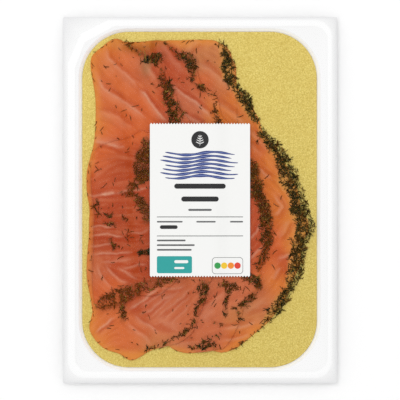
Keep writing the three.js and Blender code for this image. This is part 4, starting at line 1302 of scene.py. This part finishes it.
# %% Film heights
FILM_PITCH = 1.5
FILM_THICK = 0.08
FILM_AIR = 0.12  # between the film and what it lies on
TAUT_PASSES = 14
FLANGE_GRIP = 0.4  # mm inside the pocket's upper edge, where the film comes off the flange
CLEARANCE = 3  # places of the map by which each height is spread, so that the film clears needles
CREASES = [  # (height, half width, points)
    (0.16, 0.6, [(-64.6, 34), (-63.8, 10), (-63.8, -30), (-64.2, -58), (-63, -80)]),
    (0.12, 0.6, [(-64, 38), (-68, 52), (-71, 70)]),
    (0.12, 0.7, [(46, 84), (58, 90), (66, 98)]),
    (0.10, 0.7, [(58, -66), (66, -78), (70, -92)]),
    (0.12, 0.6, [(-60, -88), (-66, -96), (-70, -104)]),
    (0.10, 0.7, [(72, 40), (70, 20), (71, 0)]),
]


def rounded_depth(shape, margin, x, y):
    """How far a place lies inside a rounded rectangle grown by a margin."""
    middle = shape.get("middle", (0, 0))
    radius = shape["radius"] + margin
    over_x = np.abs(x - middle[0]) - (shape["width"] / 2 + margin - radius)
    over_y = np.abs(y - middle[1]) - (shape["length"] / 2 + margin - radius)
    outside = np.hypot(np.maximum(over_x, 0), np.maximum(over_y, 0))
    return radius - outside - np.minimum(np.maximum(over_x, over_y), 0)


full_map = top_map.copy()
for points in (crust_points, sprig_points, loose_points):
    column = np.clip(np.rint((points[:, 0] - MAP_X[0]) / MAP_PITCH).astype(int), 0, len(MAP_X) - 1)
    row = np.clip(np.rint((points[:, 1] - MAP_Y[0]) / MAP_PITCH).astype(int), 0, len(MAP_Y) - 1)
    np.maximum.at(full_map, (row, column), points[:, 2])
on_flange = rounded_depth(POCKET, WALL_SLOPE, map_x, map_y) < FLANGE_GRIP
full_map[on_flange] = TRAY["flange_top"] + SEAL_HEIGHT
for axis in CLEARANCE * (0, 1):
    full_map = np.maximum(full_map, np.maximum(np.roll(full_map, 1, axis), np.roll(full_map, -1, axis)))

half_x, half_y = TRAY["width"] / 2 - GAP, TRAY["length"] / 2 - GAP
film_x = np.linspace(-half_x, half_x, int(2 * half_x / FILM_PITCH) + 1)
film_y = np.linspace(-half_y, half_y, int(2 * half_y / FILM_PITCH) + 1)
film_gx, film_gy = np.meshgrid(film_x, film_y)
film_z = read_map(full_map, film_gx, film_gy) + FILM_AIR
inner = (slice(1, -1), slice(1, -1))
for _ in range(TAUT_PASSES):
    mean = sum(np.roll(film_z, step, axis) for step in (1, -1) for axis in (0, 1)) / 4
    film_z[inner] = np.maximum(film_z, mean)[inner]
film_z = np.maximum(blurred(film_z, 1), film_z)
for height, half_width, points in CREASES:
    places, _, share = along_path(points, SAMPLE)
    index, gap = nearest(places, film_gx, film_gy)
    film_z += height * taper(share[index]) * np.exp(-((gap / half_width) ** 2) / 2)
print(f"film from {film_z.min():.2f} to {film_z.max():.2f} mm high")

# %% Film sheet
def sheet_faces(columns, rows):
    """Quads of a closed sheet: a lower and an upper grid, joined all round the edge."""
    def cell(i, j, side):
        return side * columns * rows + j * columns + i
    i, j = [part.ravel() for part in np.meshgrid(np.arange(columns - 1), np.arange(rows - 1))]
    upper = np.stack([cell(i, j, 1), cell(i + 1, j, 1), cell(i + 1, j + 1, 1), cell(i, j + 1, 1)], -1)
    lower = np.stack([cell(i, j, 0), cell(i, j + 1, 0), cell(i + 1, j + 1, 0), cell(i + 1, j, 0)], -1)
    across, along = np.arange(columns - 1), np.arange(rows - 1)
    right, back = columns - 1, rows - 1
    edges = [
        (cell(across, 0, 0), cell(across + 1, 0, 0), cell(across + 1, 0, 1), cell(across, 0, 1)),
        (cell(across + 1, back, 0), cell(across, back, 0), cell(across, back, 1), cell(across + 1, back, 1)),
        (cell(right, along, 0), cell(right, along + 1, 0), cell(right, along + 1, 1), cell(right, along, 1)),
        (cell(0, along + 1, 0), cell(0, along, 0), cell(0, along, 1), cell(0, along + 1, 1)),
    ]
    return np.concatenate([upper, lower] + [np.stack(edge, -1) for edge in edges])


def sheet_piece(name, x, y, z, thick, nodes=(), smooth=True):
    """A thin closed sheet over grids of x, y and z, which are its underside."""
    lower = np.stack([x, y, z], -1).reshape(-1, 3)
    points = np.concatenate([lower, lower + (0, 0, thick)])
    return new_piece(name, points, [sheet_faces(x.shape[1], x.shape[0])], nodes, smooth)


film = sheet_piece("film_clear_sealed", film_gx, film_gy, film_z, FILM_THICK, ["clear_film"])

# %% [markdown]
# ## Finish: clear lidding film
#
# The film is polyamide and polyethylene, cast and then sealed. Where it clings to moist food the
# eye hardly sees it. It is too thin to bend light, so a very low alpha with a sharp gloss stands
# for it, and lets the light through straight. Tiny waves in the bump break up the reflections.

# %% Film material
FILM_WAVES = 5  # mm


def film_finish():
    """A nearly clear gloss: a very low alpha is the veil, and the waves are a soft bump."""
    material, tree = finish_named("clear_film_cast_and_sealed")
    place = put(tree, "ShaderNodeTexCoord").outputs["Object"]
    waves = put(tree, "ShaderNodeTexNoise",
                {"Vector": place, "Scale": 1 / (FILM_WAVES * MM), "Detail": 2.0})
    bump = put(tree, "ShaderNodeBump", {"Height": waves.outputs["Fac"], "Strength": 0.2, "Distance": 0.0004})
    close_tree(tree, {
        "Base Color": linear("#606060"),
        "Roughness": 0.12,
        "IOR": 1.5,
        "Specular IOR Level": 1.0,
        "Alpha": 0.004,
        "Normal": bump.outputs[0],
    })
    return material


film.data.materials.append(film_finish())

# %% [markdown]
# ## The paper label
#
# The label is cut from a roll with a toothed blade, so its top and bottom edges are sawn and its
# sides are straight. Paper bends one way only: it lies on the highest places of the film and is
# straight from top to bottom. Its print is thin plates of ink on the paper, all of them ribbons: a
# path with a half width at each point, bent with the paper.

# %% Label sheet
LABEL = {"thick": 0.16, "teeth": 35, "tooth": 0.9}
LABEL_ROWS = 5  # places from its bottom edge to its top edge
LABEL_REACH = 2  # mm past its ends, where the film still holds it up
STIFF_PASSES = 6  # each bridges the dips across the label a little more
LABEL_AIR = 0.03
left, right, bottom, top = LABEL_BOX


def label_rest(x):
    """The label's underside across the pack: the highest film along each line, softened."""
    covered = (film_y > bottom - LABEL_REACH) & (film_y < top + LABEL_REACH)
    highest = (film_z[covered] + FILM_THICK).max(0)
    for _ in range(STIFF_PASSES):
        wide = np.maximum(np.roll(highest, 1), np.roll(highest, -1))
        highest = np.maximum(highest, 0.5 * (highest + wide))
    return np.interp(x, film_x, highest) + LABEL_AIR


columns = 2 * LABEL["teeth"] + 1
label_rows = np.linspace(0, 1, LABEL_ROWS)[:, None]
label_x = np.tile(np.linspace(left, right, columns), (LABEL_ROWS, 1))
bite = np.where(np.arange(columns) % 2, 0, LABEL["tooth"])
label_y = bottom + bite + label_rows * (top - bottom - 2 * bite)
label = sheet_piece("label_paper_sheet", label_x, label_y, label_rest(label_x), LABEL["thick"],
                    ["paper_label"], smooth=False)
paper_top = label_rest(0.0) + LABEL["thick"]
print(f"label lies at about {paper_top:.2f} mm")

# %% [markdown]
# The print is a plain generic design: a round sprig mark, a band of waves, short and long bars,
# a teal tag and a row of coloured dots. A ribbon covers them all: a bar is a ribbon with round
# ends, a dot is a ribbon as wide as it is long, and a wave is a ribbon on a sine.

# %% Printed ribbons
INK_THICK = 0.03
INK_AIR = 0.015  # between the paper and the lowest ink
TIP = 0.01  # half width at a ribbon's pointed end, so that no face is empty


def ribbon(path_x, path_y, half_width, level=0):
    """A plate along a path: each point of the path is moved half a width to either side."""
    slope_x, slope_y = np.gradient(path_x), np.gradient(path_y)
    size = np.hypot(slope_x, slope_y)
    side = np.array([1.0, 0.0, -1.0])[:, None] * half_width
    x = path_x + side * slope_y / size
    y = path_y - side * slope_x / size
    return x, y, label_rest(x) + LABEL["thick"] + INK_AIR + level * INK_THICK


def bar(x0, x1, y, half, radius=None, level=0):
    """A straight ribbon from x0 to x1 whose ends are rounded by quarter circles."""
    radius = half if radius is None else radius
    count = max(25, int((x1 - x0) / 0.5))
    round_share = np.sin(np.linspace(-np.pi / 2, np.pi / 2, count))  # close together at both ends
    x = (x0 + x1) / 2 + (x1 - x0) / 2 * round_share
    over = np.clip(radius - np.minimum(x - x0, x1 - x), 0, radius)
    width = half - radius + np.sqrt(np.maximum(radius**2 - over**2, 0))
    return ribbon(x, np.full(count, float(y)), np.maximum(width, TIP), level)


def dot(x, y, radius, level=0):
    """A ribbon as wide as it is long."""
    return bar(x - radius, x + radius, y, radius, radius, level)


def wave(x0, x1, y, height, half, phase, level=0):
    """A ribbon on a sine, as wide as a brush that is pressed unevenly, and pointed at both ends."""
    x = np.linspace(x0, x1, 90)
    share = (x - x0) / (x1 - x0)
    width = half * np.sin(np.pi * share) ** 0.45 * (0.88 + 0.2 * np.sin(5 * x / 9 + phase))
    return ribbon(x, y + height * np.sin(x / 5.2 + phase), np.maximum(width, TIP), level)


def stroke(x0, y0, x1, y1, half, level=0):
    """A ribbon from one point to another, pointed at both ends."""
    share = np.linspace(0, 1, 9)
    width = half * np.sin(np.pi * share) ** 0.7
    return ribbon(x0 + (x1 - x0) * share, y0 + (y1 - y0) * share, np.maximum(width, TIP), level)


def sprig_mark(x, y, size):
    """A stem with pairs of leaves that get shorter towards its tip."""
    marks = [stroke(x, y - size, x, y + size, 0.2, level=1)]
    for number in range(4):
        root = y - 0.6 * size + 0.4 * size * number
        reach = size * (0.72 - 0.13 * number)
        for side in (-1, 1):
            marks.append(stroke(x, root, x + side * reach, root + 0.5 * reach, 0.24, level=1))
    return marks


def printed(name, plates):
    """One closed mesh from many plates of the same ink."""
    points, faces, used = [], [], 0
    for x, y, z in plates:
        lower = np.stack([x, y, z], -1).reshape(-1, 3)
        points += [lower, lower + (0, 0, INK_THICK)]
        faces.append(sheet_faces(x.shape[1], x.shape[0]) + used)
        used += 2 * len(lower)
    return new_piece(name, np.concatenate(points), [np.concatenate(faces)], (), False)


box_x, box_y = 16.5, -39.2  # middle of the small frame with coloured dots
WAVES = [  # (left, right, height on the label, phase)
    (-21 - 1.5 * (row % 3), 23 - 2 * ((row + 1) % 3), 28 - 2.35 * row, 0.22 * row) for row in range(7)
]
INKS = {
    "black": ("#141416", [dot(0, 36.2, 5.2), bar(-15.4, 15.4, 8.4, 1.5), bar(-11.2, 11.2, 0.7, 1.5),
                          bar(-24, -13.4, -16.1, 1.1)]),
    "white": ("#F0F0EE", sprig_mark(0, 35.9, 3.6) + [bar(-15.4, -7, -36.8, 0.9, level=1),
                                                    bar(-15.4, -9.4, -40.6, 0.6, level=1)]),
    "blue": ("#1E3078", [wave(x0, x1, y, 0.9, 0.95, turn) for x0, x1, y, turn in WAVES]),
    "pale_blue": ("#7F93C6", [wave(x0 + 2, x1 - 2, y, 0.9, 0.16, turn, level=1)
                              for x0, x1, y, turn in WAVES]),
    "grey": ("#5C5D5E", [bar(-7, 7, -5.8, 0.6), bar(-25.8, -10.4, -12.9, 0.45), bar(-2.2, 9.4, -12.9, 0.45),
                         bar(18, 25.8, -12.9, 0.45), bar(-25.8, -8.6, -24.1, 0.5),
                         bar(-25.8, -3.2, -26.9, 0.5), bar(-25.8, -5, -29.7, 0.5)]),
    "pale_grey": ("#7B7C7B", [bar(-25.8, 25.8, -10, 0.24, 0.02), bar(-25.8, 25.8, -21.4, 0.24, 0.02),
                              bar(box_x - 9.3, box_x + 9.3, box_y, 5, 2)]),
    "box_white": ("#F0F0EE", [bar(box_x - 9, box_x + 9, box_y, 4.7, 1.8, level=1)]),
    "teal": ("#1F9E9A", [bar(-25.8, -4.8, -38.6, 5.1, 1.0)]),
    "green": ("#2E9A4A", [dot(box_x - 6, box_y, 1.9, level=2)]),
    "yellow": ("#EFC42E", [dot(box_x - 2, box_y, 1.9, level=2)]),
    "orange": ("#EE8A22", [dot(box_x + 2, box_y, 1.9, level=2)]),
    "red": ("#DC3B28", [dot(box_x + 6, box_y, 1.9, level=2)]),
}

# %% [markdown]
# ## Finishes: coated label paper and ink
#
# Label paper is coated with clay, so it is smooth and matt, with a very faint fibre. The ink
# soaks into the coating, keeps its matt look and lies a little unevenly.

# %% Paper and ink materials
PAPER_CLOUD, PAPER_FIBRE = 3, 0.4  # mm
UNEVEN = 0.02  # share of grey in the clouds


def paper_finish(name, colour):
    """A matt colour with a faint cloudiness, and the tiny relief of pressed fibres."""
    material, tree = finish_named(name)
    place = put(tree, "ShaderNodeTexCoord").outputs["Object"]
    clouds = put(tree, "ShaderNodeTexNoise",
                 {"Vector": place, "Scale": 1 / (PAPER_CLOUD * MM), "Detail": 4.0})
    fibres = put(tree, "ShaderNodeTexNoise",
                 {"Vector": place, "Scale": 1 / (PAPER_FIBRE * MM), "Detail": 3.0})
    share = put(tree, "ShaderNodeMath", {0: clouds.outputs["Fac"], 1: UNEVEN}, operation="MULTIPLY")
    mixed = put(tree, "ShaderNodeMix", {0: share.outputs[0], MIX_A: linear(colour), MIX_B: linear("#9A9A98")},
                data_type="RGBA")
    bump = put(tree, "ShaderNodeBump",
               {"Height": fibres.outputs["Fac"], "Strength": 0.1, "Distance": 0.00005})
    close_tree(tree, {
        "Base Color": mixed.outputs[MIX_OUT],
        "Roughness": 0.62,
        "IOR": 1.45,
        "Normal": bump.outputs[0],
    })
    return material


label.data.materials.append(paper_finish("coated_label_paper", "#F1F1EF"))
for ink, (colour, plates) in INKS.items():
    print_piece = printed(f"label_print_{ink}", plates)
    print_piece.data.materials.append(paper_finish(f"ink_{ink}_printed_on_paper", colour))

# %% [markdown]
# ## Floor, light and camera
#
# The pack lies on a plain white floor. Food packs are photographed under large soft lights, which
# leave almost no shadow, so most of the light is an even white sky, and one large lamp from the
# upper left gives the relief its direction. The camera looks straight down through a long lens,
# and takes in 240 mm, so that one pixel of a 400 pixel picture is 0.6 mm.

# %% Stage
FIELD = 240 * MM
CAMERA_HEIGHT = 2.0
FIELD_HEIGHT = 5 * MM  # where the view is exactly as wide as the field
SENSOR = 36.0
OFF_MIDDLE = 0.12 * MM  # the pack lies this much below the middle of the picture
FLOOR_REACH = 3.0
FLOOR_HEIGHT = -0.0002
LAMP_PLACE, LAMP_SIZE, LAMP_POWER = (-0.25, 0.33, 1.6), 1.0, 6.8
SKY_STRENGTH = 0.83


def stage_floor():
    """A wide white square just under the pack."""
    signs = [(-1, -1), (1, -1), (1, 1), (-1, 1)]
    corners = [(FLOOR_REACH * x, FLOOR_REACH * y, FLOOR_HEIGHT) for x, y in signs]
    mesh = bpy.data.meshes.new("studio_floor")
    mesh.from_pydata(corners, [], [(0, 1, 2, 3)])
    floor = bpy.data.objects.new("studio_floor", mesh)
    bpy.context.scene.collection.objects.link(floor)
    material, tree = finish_named("studio_floor_white_paint")
    close_tree(tree, {"Base Color": linear("#FCFCFC"), "Roughness": 0.9})
    mesh.materials.append(material)


def soft_lamp(name, place, size, power):
    """A square lamp that faces the pack."""
    lamp = bpy.data.lights.new(name, "AREA")
    lamp.shape = "SQUARE"
    lamp.size = size
    lamp.energy = power
    holder = bpy.data.objects.new(name, lamp)
    holder.location = place
    holder.rotation_euler = (-holder.location).to_track_quat("-Z", "Y").to_euler()
    bpy.context.scene.collection.objects.link(holder)


stage_floor()
soft_lamp("lamp_upper_left", LAMP_PLACE, LAMP_SIZE, LAMP_POWER)
sky = bpy.data.worlds.new("even_white_sky")
sky.use_nodes = True
background = sky.node_tree.nodes["Background"]
background.inputs["Color"].default_value = (1, 1, 1, 1)
background.inputs["Strength"].default_value = SKY_STRENGTH
scene = bpy.context.scene
scene.world = sky
scene.view_settings.view_transform = "Standard"
scene.cycles.denoising_prefilter = "NONE"  # keeps needles and the label's teeth sharp

camera_data = bpy.data.cameras.new("camera")
camera_data.sensor_width = SENSOR
camera_data.lens = SENSOR * (CAMERA_HEIGHT - FIELD_HEIGHT) / FIELD
camera = bpy.data.objects.new("camera", camera_data)
camera.location = (0, OFF_MIDDLE, CAMERA_HEIGHT)
scene.collection.objects.link(camera)
scene.camera = camera
